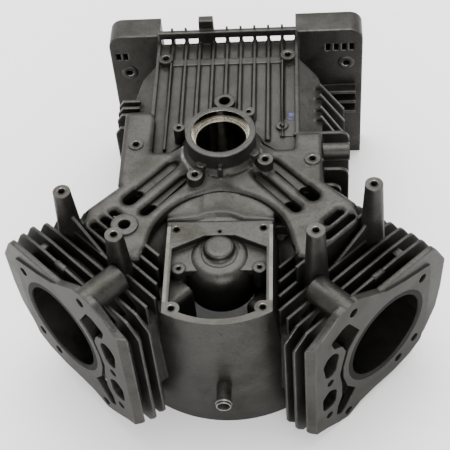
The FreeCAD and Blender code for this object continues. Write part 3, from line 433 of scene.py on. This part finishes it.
def sheet_solid(name, columns, bottom):
    """Closed mesh under a sheet given as columns of points in millimetres, down to a level."""
    shape = bmesh.new()
    upper = [[shape.verts.new(Vector(p) * MM) for p in column] for column in columns]
    lower = [[shape.verts.new(Vector((p[0], p[1], bottom)) * MM) for p in column] for column in columns]
    last, end = len(columns) - 1, len(columns[0]) - 1
    for i in range(last):
        for j in range(end):
            shape.faces.new((upper[i][j], upper[i + 1][j], upper[i + 1][j + 1], upper[i][j + 1]))
            shape.faces.new((lower[i][j], lower[i][j + 1], lower[i + 1][j + 1], lower[i + 1][j]))
        for j in (0, end):
            shape.faces.new((upper[i][j], upper[i + 1][j], lower[i + 1][j], lower[i][j]))
    for i in (0, last):
        for j in range(end):
            shape.faces.new((upper[i][j], upper[i][j + 1], lower[i][j + 1], lower[i][j]))
    bmesh.ops.recalc_face_normals(shape, faces=shape.faces)
    return to_mesh(shape, name)


def slice_patch(shape, faces, cuts):
    """Cut some faces of a mesh along planes across x or y, in millimetres."""
    corners = dict.fromkeys(v for f in faces for v in f.verts)
    edges = dict.fromkeys(e for f in faces for e in f.edges)
    geometry = list(corners) + list(edges) + faces
    for axis, place in cuts:
        spot, way = [0.0, 0.0, 0.0], [0.0, 0.0, 0.0]
        spot[axis], way[axis] = place * MM, 1.0
        geometry = bmesh.ops.bisect_plane(shape, geom=geometry, plane_co=spot, plane_no=way, dist=1e-7)["geom"]
    return [f for f in geometry if isinstance(f, bmesh.types.BMFace)]


def level_faces(shape, height):
    """Upward faces of a shape at a height in millimetres."""
    return [f for f in shape.faces if f.normal.z > 0.98 and abs(f.calc_center_median().z / MM - height) < 0.05]


def soften_plate(shape, drop, reach):
    """Round the spider plate down at its edges and grooves, and up into the crank boss."""
    cuts = [(axis, first + PLATE_STEP * n) for axis, (first, count) in enumerate(PLATE_CUTS) for n in range(count)]
    faces = slice_patch(shape, level_faces(shape, PLATE_TOP), cuts)
    inside = dict.fromkeys(v for f in faces for v in f.verts)
    rim = dict.fromkeys(v for v in inside if v.is_boundary)

    def free(spot):
        """Whether an edge point stands clear of the bosses, which the plate meets at its full height."""
        from_ring = math.hypot(spot.x - RING_BOSS[0], spot.y - RING_BOSS[1])
        if math.hypot(spot.x, spot.y) < BOSS_FOOT + 1 or abs(from_ring - RING_BOSS_RADIUS) < 1.6:
            return False
        return all(math.hypot(spot.x - x, spot.y - y) > BOSS_CLEARANCE for x, y, _ in BOSS_TOPS)

    samples = [v.co / MM for v in rim if free(v.co / MM)]
    near = KDTree(len(samples))
    for index, spot in enumerate(samples):
        near.insert(spot, index)
    near.balance()
    moved = {}
    for vertex in inside:
        spot = vertex.co / MM
        held = vertex in rim and not free(spot)
        fall = 0.0 if held else drop * max(0.0, 1 - near.find(spot)[2] / reach) ** 2
        axial = math.hypot(spot.x, spot.y)
        rise = BOSS_RISE * max(0.0, 1 - (axial - BOSS_FOOT) / BOSS_BLEND) ** 2
        scale = 1 - BOSS_SLOPE * rise / axial
        moved[vertex] = Vector((spot.x * scale, spot.y * scale, spot.z + rise - fall)) * MM
    follow = {tuple(round(c * 1e6) for c in v.co): moved[v] for v in rim}
    for vertex in shape.verts:
        target = moved.get(vertex) or follow.get(tuple(round(c * 1e6) for c in vertex.co))
        if target:
            vertex.co = target


def taper_deck_fins(shape):
    """Give the deck's fins sloping sides and a lower top."""
    for vertex in shape.verts:
        x, y, z = vertex.co / MM
        middle = round(x / FIN_PITCH) * FIN_PITCH
        if not (abs(abs(x - middle) - FIN_HALF) < 0.05 and abs(x) < FIN_SPREAD and FIN_FRONT < y < FIN_REAR):
            continue
        side = math.copysign(1, x - middle)
        if abs(z - DECK_TOP) < 0.05:
            vertex.co.x = (middle + side * FIN_FOOT) * MM
        elif abs(z - FIN_TOP) < 0.05:
            vertex.co.x = (middle + side * FIN_TIP) * MM
            vertex.co.z -= FIN_LOWERED * MM


def mark_patches(shape):
    """Number the patches of joined triangles, one for each face of the solid, in a face layer."""
    layer = shape.faces.layers.int.new("patch")
    number = 0
    for first in shape.faces:
        if first[layer]:
            continue
        number += 1
        first[layer] = number
        waiting = [first]
        while waiting:
            for vertex in waiting.pop().verts:
                for face in vertex.link_faces:
                    if not face[layer]:
                        face[layer] = number
                        waiting.append(face)
    return layer


def finish_of(centre, normal):
    """Finish of a face of the casting, from its centre in millimetres and its normal."""
    x, y, z = centre
    axial = math.hypot(x, y)
    for side in BANK_AXIS:
        out = outward(side)
        if normal.dot(out) > 0.99 and abs(centre.dot(out) - DECK_REACH) < 0.3:
            return MILLED
    if axial < SEAL_RADIUS + 0.4 and z > CRANK_TOP - SEAL_DEPTH - 0.5:
        return BORED
    if normal.z > 0.98:
        if z > POST_TOP - 0.3:
            return MILLED
        if abs(z - RIM_TOP) < 0.2 and -190 < y < -70 and abs(x) < RIM_HALF + 1:
            if y < RIM_FRONT:
                return MILLED
            return GASKET if abs(x) > RIM_STRIP and y < RIM_REAR else CAST
        for bx, by, top in BOSS_TOPS:
            if abs(z - top) < 0.3 and math.hypot(x - bx, y - by) < BOSS_CLEARANCE and axial > 35:
                return MILLED
    return MILLED if z < 0.1 and normal.z < -0.98 else CAST


# Operators: one for each piece or group of like pieces, and one for the stage

class CRANKCASE_OT_casting(bpy.types.Operator):
    """Die casting with a softened plate, tapered fins and its own finishes"""
    bl_idname = "crankcase.casting"
    bl_label = "Finish Casting"

    def execute(self, context):
        settings = context.scene.crankcase_casting
        shape = bmesh.new()
        shape.from_mesh(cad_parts["crankcase"].data)
        patches = mark_patches(shape)
        bmesh.ops.remove_doubles(shape, verts=shape.verts, dist=0.00002)
        bmesh.ops.split_edges(shape, edges=[e for e in shape.edges if len({f[patches] for f in e.link_faces}) > 1])
        slice_patch(shape, level_faces(shape, RIM_TOP),
                    ((0, -RIM_STRIP), (0, RIM_STRIP), (1, RIM_REAR), (1, RIM_FRONT)))
        for face in shape.faces:
            face.material_index = finish_of(face.calc_center_median() / MM, face.normal)
        soften_plate(shape, settings.plate_drop / MM, settings.plate_reach / MM)
        taper_deck_fins(shape)
        mesh = to_mesh(shape, "casting")
        # Bored, milled and gasket finishes: painted shade darkens their hollows, and their light edge tones are
        # painted highlight and edge wear on the exposed edges.
        bored = metal("Bored Aluminium", (0.5, 0.475, 0.43), (0.34, 0.32, 0.28), DIRT_AND_SHADE, (0.7, 0.68, 0.62),
                      {"Patch Scale": 60.0, "Grain Scale": 1800.0, "Dirt And Shade Amount": 0.15, "Rubbed And Highlit Amount": 0.8,
                       "Edge Radius": 0.0005, "Roughness": 0.11, "Roughness Spread": 0.1}, 1.0, 0.05)
        milled = metal("Milled Aluminium", settings.machined, [0.55 * c for c in settings.machined], settings.dirt_and_shade,
                       settings.rubbed_and_highlit, {"Patch Scale": 42.0, "Grain Scale": 1500.0, "Dirt And Shade Amount": 0.55,
                                         "Shade Reach": 0.006, "Rubbed And Highlit Amount": 0.7, "Edge Radius": 0.0004,
                                         "Roughness": 0.33, "Roughness Spread": 0.12}, 0.85, 0.08, 0.6)
        gasket = metal("Gasket Rim", settings.rim, [0.6 * c for c in settings.rim], DIRT_AND_SHADE, (0.5, 0.48, 0.45),
                       {"Patch Scale": 80.0, "Grain Scale": 1500.0, "Dirt And Shade Amount": 0.3, "Shade Reach": 0.004,
                        "Rubbed And Highlit Amount": 0.6, "Edge Radius": 0.0005, "Roughness": 0.26,
                        "Roughness Spread": 0.15}, 0.95, 0.08)
        piece = finish_piece(mesh, "casting", (cast_skin(settings), milled, bored, gasket), sharp=180.0)
        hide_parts("crankcase")
        return {"FINISHED"}


class CRANKCASE_OT_crown(bpy.types.Operator):
    """Folded crown of the casting between the arch and the breather rim"""
    bl_idname = "crankcase.crown"
    bl_label = "Fold Crown"

    def execute(self, context):
        columns = []
        for step in range(-CROWN_SIDE, CROWN_SIDE + 1):
            x = CROWN_STEP * step
            for first, second in zip(RIDGE, RIDGE[1:]):
                if first[0] <= x <= second[0]:
                    share = (x - first[0]) / (second[0] - first[0])
                    ridge_y, ridge_z = (a + (b - a) * share for a, b in zip(first[1:], second[1:]))
            back = ARCH_CENTRE + math.sqrt(ARCH_RADIUS ** 2 - x * x) + CROWN_OVERLAP
            panel = ramp(x, *PANEL_LEFT) * (1 - ramp(x, *PANEL_RIGHT))
            back_z = CROWN_BACK - CROWN_BOW * (x / CROWN_HALF) ** 2 + PANEL_RISE * panel
            column = []
            for row in range(CROWN_ROWS):
                share = row / (CROWN_ROWS - 1)
                column.append((x, back + (ridge_y - back) * share,
                               back_z + (ridge_z - back_z) * share - CROWN_SAG * math.sin(math.pi * share)))
            for ahead, down in CROWN_LIP:
                column.append((x, max(ridge_y - ahead, CROWN_WALL), ridge_z - down))
            column.append((x, CROWN_WALL - 0.1, ridge_z - CROWN_LIP[-1][1] - 0.1))
            columns.append(column)
        mesh = sheet_solid("crown", columns, CROWN_FOOT)
        finish_piece(mesh, "crown", (cast_skin(context.scene.crankcase_casting),))
        return {"FINISHED"}


class CRANKCASE_OT_dome(bpy.types.Operator):
    """Flowing skin of the cam bearing dome and its cap"""
    bl_idname = "crankcase.dome"
    bl_label = "Turn Cam Dome"

    def execute(self, context):
        skin = cast_skin(context.scene.crankcase_casting)
        shoulder = []
        for step in range(SHOULDER_STEPS):
            angle = math.radians(7 * step)
            shoulder.append((SHOULDER_CENTRE[0] + SHOULDER_RADII[0] * math.cos(angle),
                             SHOULDER_CENTRE[1] + SHOULDER_RADII[1] * math.sin(angle)))
        dome = DOME_WALL + shoulder + DOME_CROWN
        for name, profile, y in (("dome", dome, DOME_CENTRE), ("dome_cap", CAP_PROFILE, CAP_CENTRE)):
            mesh = lathe(name, profile, (0, y, 0), Vector((0, 0, 1)), 96, capped=True)
            finish_piece(mesh, name, (skin,), sharp=60.0)
        return {"FINISHED"}


class CRANKCASE_OT_pads(bpy.types.Operator):
    """Cast pads on the outermost barrel fins"""
    bl_idname = "crankcase.pads"
    bl_label = "Add Fin Pads"

    def execute(self, context):
        shape = bmesh.new()
        for side in BANK_AXIS:
            for spans in FIN_PADS:
                for vertex in bmesh.ops.create_cube(shape, size=1.0)["verts"]:
                    u, s, v = (span[corner > 0] for span, corner in zip(spans, vertex.co))
                    vertex.co = bank_point(side, u, v, s) * MM
        bmesh.ops.bevel(shape, geom=shape.edges[:], offset=1.2 * MM, segments=2, profile=0.5, affect="EDGES")
        bmesh.ops.recalc_face_normals(shape, faces=shape.faces)
        skin = cast_skin(context.scene.crankcase_casting)
        finish_piece(to_mesh(shape, "fin_pads"), "fin_pads", (skin,), sharp=60.0)
        return {"FINISHED"}


class CRANKCASE_OT_liners(bpy.types.Operator):
    """Two honed iron liners with a chamfered mouth"""
    bl_idname = "crankcase.liners"
    bl_label = "Turn Liners"

    def execute(self, context):
        settings = context.scene.crankcase_rings
        # Painted shade darkens the liners' hollows toward the dark dirt tone.
        iron = metal("Honed Iron", settings.iron, [0.75 * c for c in settings.iron], DIRT_AND_SHADE, settings.iron,
                     {"Patch Scale": 45.0, "Grain Scale": 1800.0, "Dirt And Shade Amount": 0.3, "Shade Reach": 0.03,
                      "Rubbed And Highlit Amount": 0.5, "Roughness": 0.32, "Roughness Spread": 0.1}, 0.8, 0.15, 0.2)
        edge = settings.chamfer / MM
        for side, word in ((-1, "left"), (1, "right")):
            start = bank_point(side, 0, 0, DECK_REACH - LINER_LENGTH)
            profile = ((BORE, 0), (BORE, LINER_LENGTH - edge), (BORE + edge, LINER_LENGTH),
                       (LINER_OUTSIDE, LINER_LENGTH), (LINER_OUTSIDE, 0))
            name = "liner_" + word
            piece = finish_piece(lathe(name, profile, start, outward(side), settings.segments), name, (iron,))
            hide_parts("cylinder_liner_" + word)
        return {"FINISHED"}


class CRANKCASE_OT_bush(bpy.types.Operator):
    """Polished bush in the crank boss"""
    bl_idname = "crankcase.bush"
    bl_label = "Turn Bush"

    def execute(self, context):
        settings = context.scene.crankcase_rings
        # Painted shade darkens the bush's hollows toward the dark dirt tone.
        steel = metal("Polished Bush", settings.bush, [0.8 * c for c in settings.bush], DIRT_AND_SHADE, settings.bush,
                      {"Patch Scale": 50.0, "Grain Scale": 1800.0, "Dirt And Shade Amount": 0.1, "Rubbed And Highlit Amount": 0.5,
                       "Roughness": 0.16, "Roughness Spread": 0.08}, 1.0, 0.05)
        start = (0, 0, CRANK_TOP - SEAL_DEPTH - BUSH_LENGTH)
        edge = settings.chamfer / MM
        profile = ((BUSH_BORE, 0), (BUSH_BORE, BUSH_LENGTH - edge), (BUSH_BORE + edge, BUSH_LENGTH),
                   (BUSH_OUTSIDE, BUSH_LENGTH), (BUSH_OUTSIDE, 0))
        mesh = lathe("bush", profile, start, Vector((0, 0, 1)), settings.segments)
        piece = finish_piece(mesh, "bush", (steel,))
        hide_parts("main_bearing_bush")
        return {"FINISHED"}


class CRANKCASE_OT_tube(bpy.types.Operator):
    """Breather tube with its bead and bright end"""
    bl_idname = "crankcase.tube"
    bl_label = "Turn Breather Tube"

    def execute(self, context):
        settings = context.scene.crankcase_rings
        # Painted shade darkens the tube's hollows, and its light edge tone is painted highlight and edge wear on the
        # exposed edges.
        steel = metal("Tube Steel", settings.tube, [0.6 * c for c in settings.tube], DIRT_AND_SHADE, (0.5, 0.5, 0.48),
                      {"Patch Scale": 160.0, "Grain Scale": 1500.0, "Dirt And Shade Amount": 0.2, "Rubbed And Highlit Amount": 0.8,
                       "Roughness": 0.3, "Roughness Spread": 0.15}, 0.9, 0.1)
        low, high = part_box("breather_tube")
        start, length = high.y / MM, (high.y - low.y) / MM
        profile = [(TUBE_BORE, 0), (TUBE_BORE, length - 0.5), (TUBE_BORE + 0.3, length), (TUBE_RADIUS - 0.3, length),
                   (TUBE_RADIUS, length - 0.4), (TUBE_RADIUS, length - 2.0)]
        for step in range(BEAD_STEPS + 1):
            angle = math.pi * step / BEAD_STEPS
            profile.append((TUBE_RADIUS + BEAD_HEIGHT * math.sin(angle),
                            length - BEAD_START - BEAD_HALF * (1 - math.cos(angle))))
        profile.append((TUBE_RADIUS, 0))
        mesh = lathe("tube", profile, (0, start, TUBE_AXIS), Vector((0, -1, 0)), 64)
        piece = finish_piece(mesh, "tube", (steel,))
        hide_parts("breather_tube")
        return {"FINISHED"}


def thread_tree(made):
    """Geometry nodes: a stack of thread teeth and a bright rim at each hole's mouth."""
    tree = bpy.data.node_groups.new("Tapped Holes", "GeometryNodeTree")
    new_socket(tree, "Geometry", "INPUT", "NodeSocketGeometry")
    for label, kind, value in (("Pitch", "NodeSocketFloat", 0.34), ("Tooth", "NodeSocketFloat", 0.16),
                               ("Turns", "NodeSocketInt", 9), ("Rim", "NodeSocketFloat", 0.22),
                               ("Segments", "NodeSocketInt", 24)):
        new_socket(tree, label, "INPUT", kind, value)
    new_socket(tree, "Geometry", "OUTPUT", "NodeSocketGeometry")
    given = tree.nodes.new("NodeGroupInput").outputs
    circle = add(tree, "GeometryNodeCurvePrimitiveCircle", {"Resolution": given["Segments"], "Radius": 1.0})
    half = add(tree, "ShaderNodeMath", {0: given["Pitch"], 1: 0.5}, operation="MULTIPLY")
    down = add(tree, "ShaderNodeMath", {0: 0.0, 1: half.outputs[0]}, operation="SUBTRACT")
    upper = add(tree, "ShaderNodeCombineXYZ", {"X": 0.0, "Y": half.outputs[0], "Z": 0.0})
    inner = add(tree, "ShaderNodeCombineXYZ", {"X": given["Tooth"], "Y": 0.0, "Z": 0.0})
    lower = add(tree, "ShaderNodeCombineXYZ", {"X": 0.0, "Y": down.outputs[0], "Z": 0.0})
    first = add(tree, "GeometryNodeCurvePrimitiveLine", {"Start": upper.outputs[0], "End": inner.outputs[0]})
    second = add(tree, "GeometryNodeCurvePrimitiveLine", {"Start": inner.outputs[0], "End": lower.outputs[0]})
    profile = add(tree, "GeometryNodeJoinGeometry")
    for line in (first, second):
        tree.links.new(line.outputs[0], profile.inputs[0])
    tooth = add(tree, "GeometryNodeCurveToMesh", {"Curve": circle.outputs[0], "Profile Curve": profile.outputs[0]})
    step = add(tree, "ShaderNodeCombineXYZ", {"X": 0.0, "Y": 0.0, "Z": given["Pitch"]})
    back = add(tree, "ShaderNodeVectorMath", {0: step.outputs[0], "Scale": -1.0}, operation="SCALE")
    first_at = add(tree, "ShaderNodeVectorMath", {0: back.outputs[0], "Scale": 0.9}, operation="SCALE")
    line = add(tree, "GeometryNodeMeshLine", {"Count": given["Turns"], "Start Location": first_at.outputs[0],
                                              "Offset": back.outputs[0]})
    stack = add(tree, "GeometryNodeInstanceOnPoints", {"Points": line.outputs[0], "Instance": tooth.outputs[0]})
    wide = add(tree, "ShaderNodeMath", {0: given["Rim"], 1: 1.0}, operation="ADD")
    outer = add(tree, "GeometryNodeCurvePrimitiveCircle", {"Resolution": given["Segments"],
                                                           "Radius": wide.outputs[0]})
    rim_end = add(tree, "ShaderNodeCombineXYZ", {"X": given["Rim"], "Y": given["Rim"], "Z": 0.0})
    drop = add(tree, "ShaderNodeVectorMath", {0: rim_end.outputs[0], 1: (1.0, -1.0, 0.0)}, operation="MULTIPLY")
    slope = add(tree, "GeometryNodeCurvePrimitiveLine", {"Start": (0.0, 0.008, 0.0), "End": drop.outputs[0]})
    rim = add(tree, "GeometryNodeCurveToMesh", {"Curve": outer.outputs[0], "Profile Curve": slope.outputs[0]})
    whole = add(tree, "GeometryNodeJoinGeometry")
    for part in (stack.outputs[0], rim.outputs[0]):
        tree.links.new(part, whole.inputs[0])
    axis = add(tree, "GeometryNodeInputNamedAttribute", {"Name": "axis"}, data_type="FLOAT_VECTOR")
    turn = add(tree, "FunctionNodeAlignRotationToVector", {"Vector": axis.outputs[0]}, axis="Z")
    radius = add(tree, "GeometryNodeInputNamedAttribute", {"Name": "hole_radius"}, data_type="FLOAT")
    placed = add(tree, "GeometryNodeInstanceOnPoints", {
        "Points": given["Geometry"], "Instance": whole.outputs[0], "Rotation": turn.outputs[0],
        "Scale": radius.outputs[0]})
    real = add(tree, "GeometryNodeRealizeInstances", {"Geometry": placed.outputs[0]})
    smooth = add(tree, "GeometryNodeSetShadeSmooth", {"Geometry": real.outputs[0], "Shade Smooth": True})
    coat = add(tree, "GeometryNodeSetMaterial", {"Geometry": smooth.outputs[0], "Material": made})
    out = tree.nodes.new("NodeGroupOutput")
    tree.links.new(coat.outputs[0], out.inputs["Geometry"])
    return tree


def grow(name, points, attributes, tree, values):
    """Mesh that a node tree makes on a set of points with named attributes."""
    seed = bpy.data.meshes.new(name + "_points")
    seed.from_pydata(points, [], [])
    for label, kind, data in attributes:
        layer = seed.attributes.new(label, kind, "POINT")
        field = "vector" if kind == "FLOAT_VECTOR" else "value"
        flat = [c for item in data for c in item] if kind == "FLOAT_VECTOR" else data
        layer.data.foreach_set(field, flat)
    holder = bpy.data.objects.new(name + "_points", seed)
    bpy.context.scene.collection.objects.link(holder)
    live = holder.modifiers.new(name, "NODES")
    live.node_group = tree
    sockets = {item.name: item.identifier for item in tree.interface.items_tree if item.in_out == "INPUT"}
    for label, value in values.items():
        live[sockets[label]] = value
    bpy.context.view_layer.update()
    mesh = bpy.data.meshes.new_from_object(holder.evaluated_get(bpy.context.evaluated_depsgraph_get()))
    mesh.name = name
    bpy.data.objects.remove(holder)
    return mesh


class CRANKCASE_OT_threads(bpy.types.Operator):
    """Threads and bright countersinks in the tapped holes"""
    bl_idname = "crankcase.threads"
    bl_label = "Cut Threads"

    def execute(self, context):
        settings = context.scene.crankcase_threads
        places, axes, radii = [], [], []

        def hole(spot, axis, radius):
            places.append(Vector(spot) * MM)
            axes.append(axis)
            radii.append(radius * MM)

        for x, y, top, radius in UPPER_HOLES:
            hole((x, y, top), (0, 0, 1), radius)
        for x, z, radius in WING_HOLES:
            hole((x, WING_FACE, z), (0, -1, 0), radius)
        for side in BANK_AXIS:
            for offset in (-POST_OFFSET, POST_OFFSET):
                spot = bank_point(side, offset, 0, POST_REACH)
                hole((spot.x, spot.y, POST_TOP), (0, 0, 1), POST_HOLE)
        # The light edge tone is painted highlight and edge wear; the hollows get no painted shade.
        bright = metal("Thread Metal", (0.3, 0.29, 0.27), (0.18, 0.172, 0.155), DIRT_AND_SHADE, (0.4, 0.39, 0.36),
                       {"Patch Scale": 400.0, "Grain Scale": 1500.0, "Dirt And Shade Amount": 0.0, "Rubbed And Highlit Amount": 0.3,
                        "Edge Radius": 0.0001, "Roughness": 0.22, "Roughness Spread": 0.1}, 1.0, 0.0)
        mesh = grow("threads", places, (("axis", "FLOAT_VECTOR", axes), ("hole_radius", "FLOAT", radii)),
                    thread_tree(bright), {"Pitch": settings.pitch, "Tooth": settings.tooth,
                                          "Turns": settings.turns, "Rim": settings.rim, "Segments": 24})
        mesh.materials.clear()
        piece = finish_piece(mesh, "threads", (bright,))
        return {"FINISHED"}


class CRANKCASE_OT_marks(bpy.types.Operator):
    """Blue inspection dots on the deck"""
    bl_idname = "crankcase.marks"
    bl_label = "Dab Paint Dots"

    def execute(self, context):
        settings = context.scene.crankcase_marks
        paint = bpy.data.materials.new("Inspection Paint")
        paint.use_nodes = True
        shader = paint.node_tree.nodes["Principled BSDF"]
        shader.inputs["Base Color"].default_value = shade(settings.paint)
        shader.inputs["Roughness"].default_value = 0.45
        shape = bmesh.new()
        for x, y, wide, tall in PAINT_DOTS:
            ring = []
            for step in range(DOT_SIDES):
                angle = 2 * math.pi * step / DOT_SIDES
                swell = 1 + 0.16 * math.sin(3 * angle + x) + 0.1 * math.sin(5 * angle + y)
                ring.append(Vector((x + wide * swell * math.cos(angle), y + tall * swell * math.sin(angle), 0)))
            low = [shape.verts.new(Vector((p.x, p.y, DECK_TOP - DOT_SUNK)) * MM) for p in ring]
            high = [shape.verts.new(Vector((p.x, p.y, DECK_TOP + DOT_PROUD)) * MM) for p in ring]
            shape.faces.new(high)
            shape.faces.new(low[::-1])
            band(shape, low, high)
        finish_piece(to_mesh(shape, "paint_dots"), "paint_dots", (paint,))
        return {"FINISHED"}


class CRANKCASE_OT_stage(bpy.types.Operator):
    """Pale floor, soft light and the photograph's camera"""
    bl_idname = "crankcase.stage"
    bl_label = "Set Stage"

    def execute(self, context):
        settings = context.scene.crankcase_stage
        scene = context.scene
        floor_paint = bpy.data.materials.new("Floor")
        floor_paint.use_nodes = True
        shader = floor_paint.node_tree.nodes["Principled BSDF"]
        shader.inputs["Base Color"].default_value = shade(settings.floor)
        shader.inputs["Roughness"].default_value = 0.9
        sheet = bpy.data.meshes.new("floor")
        corners = [(x * FLOOR_REACH, y * FLOOR_REACH, FLOOR_LEVEL) for x, y in ((-1, -1), (1, -1), (1, 1), (-1, 1))]
        sheet.from_pydata(corners, [], [(0, 1, 2, 3)])
        floor = bpy.data.objects.new("floor", sheet)
        sheet.materials.append(floor_paint)
        scene.collection.objects.link(floor)

        world = bpy.data.worlds.new("studio")
        world.use_nodes = True
        back = world.node_tree.nodes["Background"]
        back.inputs["Color"].default_value = (1.0, 1.0, 1.0, 1.0)
        back.inputs["Strength"].default_value = settings.sky
        scene.world = world

        for name, place, width, share in LIGHTS:
            lamp = bpy.data.lights.new(name, "AREA")
            lamp.size = width
            lamp.energy = settings.key_power * share
            holder = bpy.data.objects.new(name, lamp)
            holder.location = place
            holder.rotation_euler = (Vector(LIGHT_AIM) - Vector(place)).to_track_quat("-Z", "Y").to_euler()
            scene.collection.objects.link(holder)

        camera = bpy.data.cameras.new("camera")
        camera.lens = settings.lens
        camera.sensor_width = 36.0
        camera.shift_x, camera.shift_y = CAMERA_SHIFT
        eye = bpy.data.objects.new("camera", camera)
        right = Vector(CAMERA_RIGHT).normalized()
        look = Vector(CAMERA_LOOK).normalized()
        up = right.cross(look).normalized()
        turn = Matrix((right, up, -look)).transposed()
        eye.matrix_world = Matrix.Translation(Vector(CAMERA_PLACE)) @ turn.to_4x4()
        scene.collection.objects.link(eye)
        scene.camera = eye
        return {"FINISHED"}


PIECES = (CRANKCASE_OT_casting, CRANKCASE_OT_crown, CRANKCASE_OT_dome, CRANKCASE_OT_pads,
          CRANKCASE_OT_liners, CRANKCASE_OT_bush, CRANKCASE_OT_tube, CRANKCASE_OT_threads,
          CRANKCASE_OT_marks, CRANKCASE_OT_stage)


class CRANKCASE_PT_panel(bpy.types.Panel):
    """Buttons and settings for the crankcase"""
    bl_label = "Crankcase"
    bl_idname = "CRANKCASE_PT_panel"
    bl_space_type = "VIEW_3D"
    bl_region_type = "UI"
    bl_category = "Crankcase"

    def draw(self, context):
        for piece in PIECES:
            self.layout.operator(piece.bl_idname)
        for name, group in SETTINGS:
            box = self.layout.box()
            for prop in group.__annotations__:
                box.prop(getattr(context.scene, name), prop)


def register():
    for name, group in SETTINGS:
        bpy.utils.register_class(group)
        setattr(bpy.types.Scene, name, PointerProperty(type=group))
    for cls in PIECES + (CRANKCASE_PT_panel,):
        bpy.utils.register_class(cls)


def unregister():
    for cls in reversed(PIECES + (CRANKCASE_PT_panel,)):
        bpy.utils.unregister_class(cls)
    for name, group in reversed(SETTINGS):
        delattr(bpy.types.Scene, name)
        bpy.utils.unregister_class(group)


def main():
    register()
    bpy.ops.crankcase.casting()
    bpy.ops.crankcase.crown()
    bpy.ops.crankcase.dome()
    bpy.ops.crankcase.pads()
    bpy.ops.crankcase.liners()
    bpy.ops.crankcase.bush()
    bpy.ops.crankcase.tube()
    bpy.ops.crankcase.threads()
    bpy.ops.crankcase.marks()
    bpy.ops.crankcase.stage()


if __name__ == "__main__":
    main()
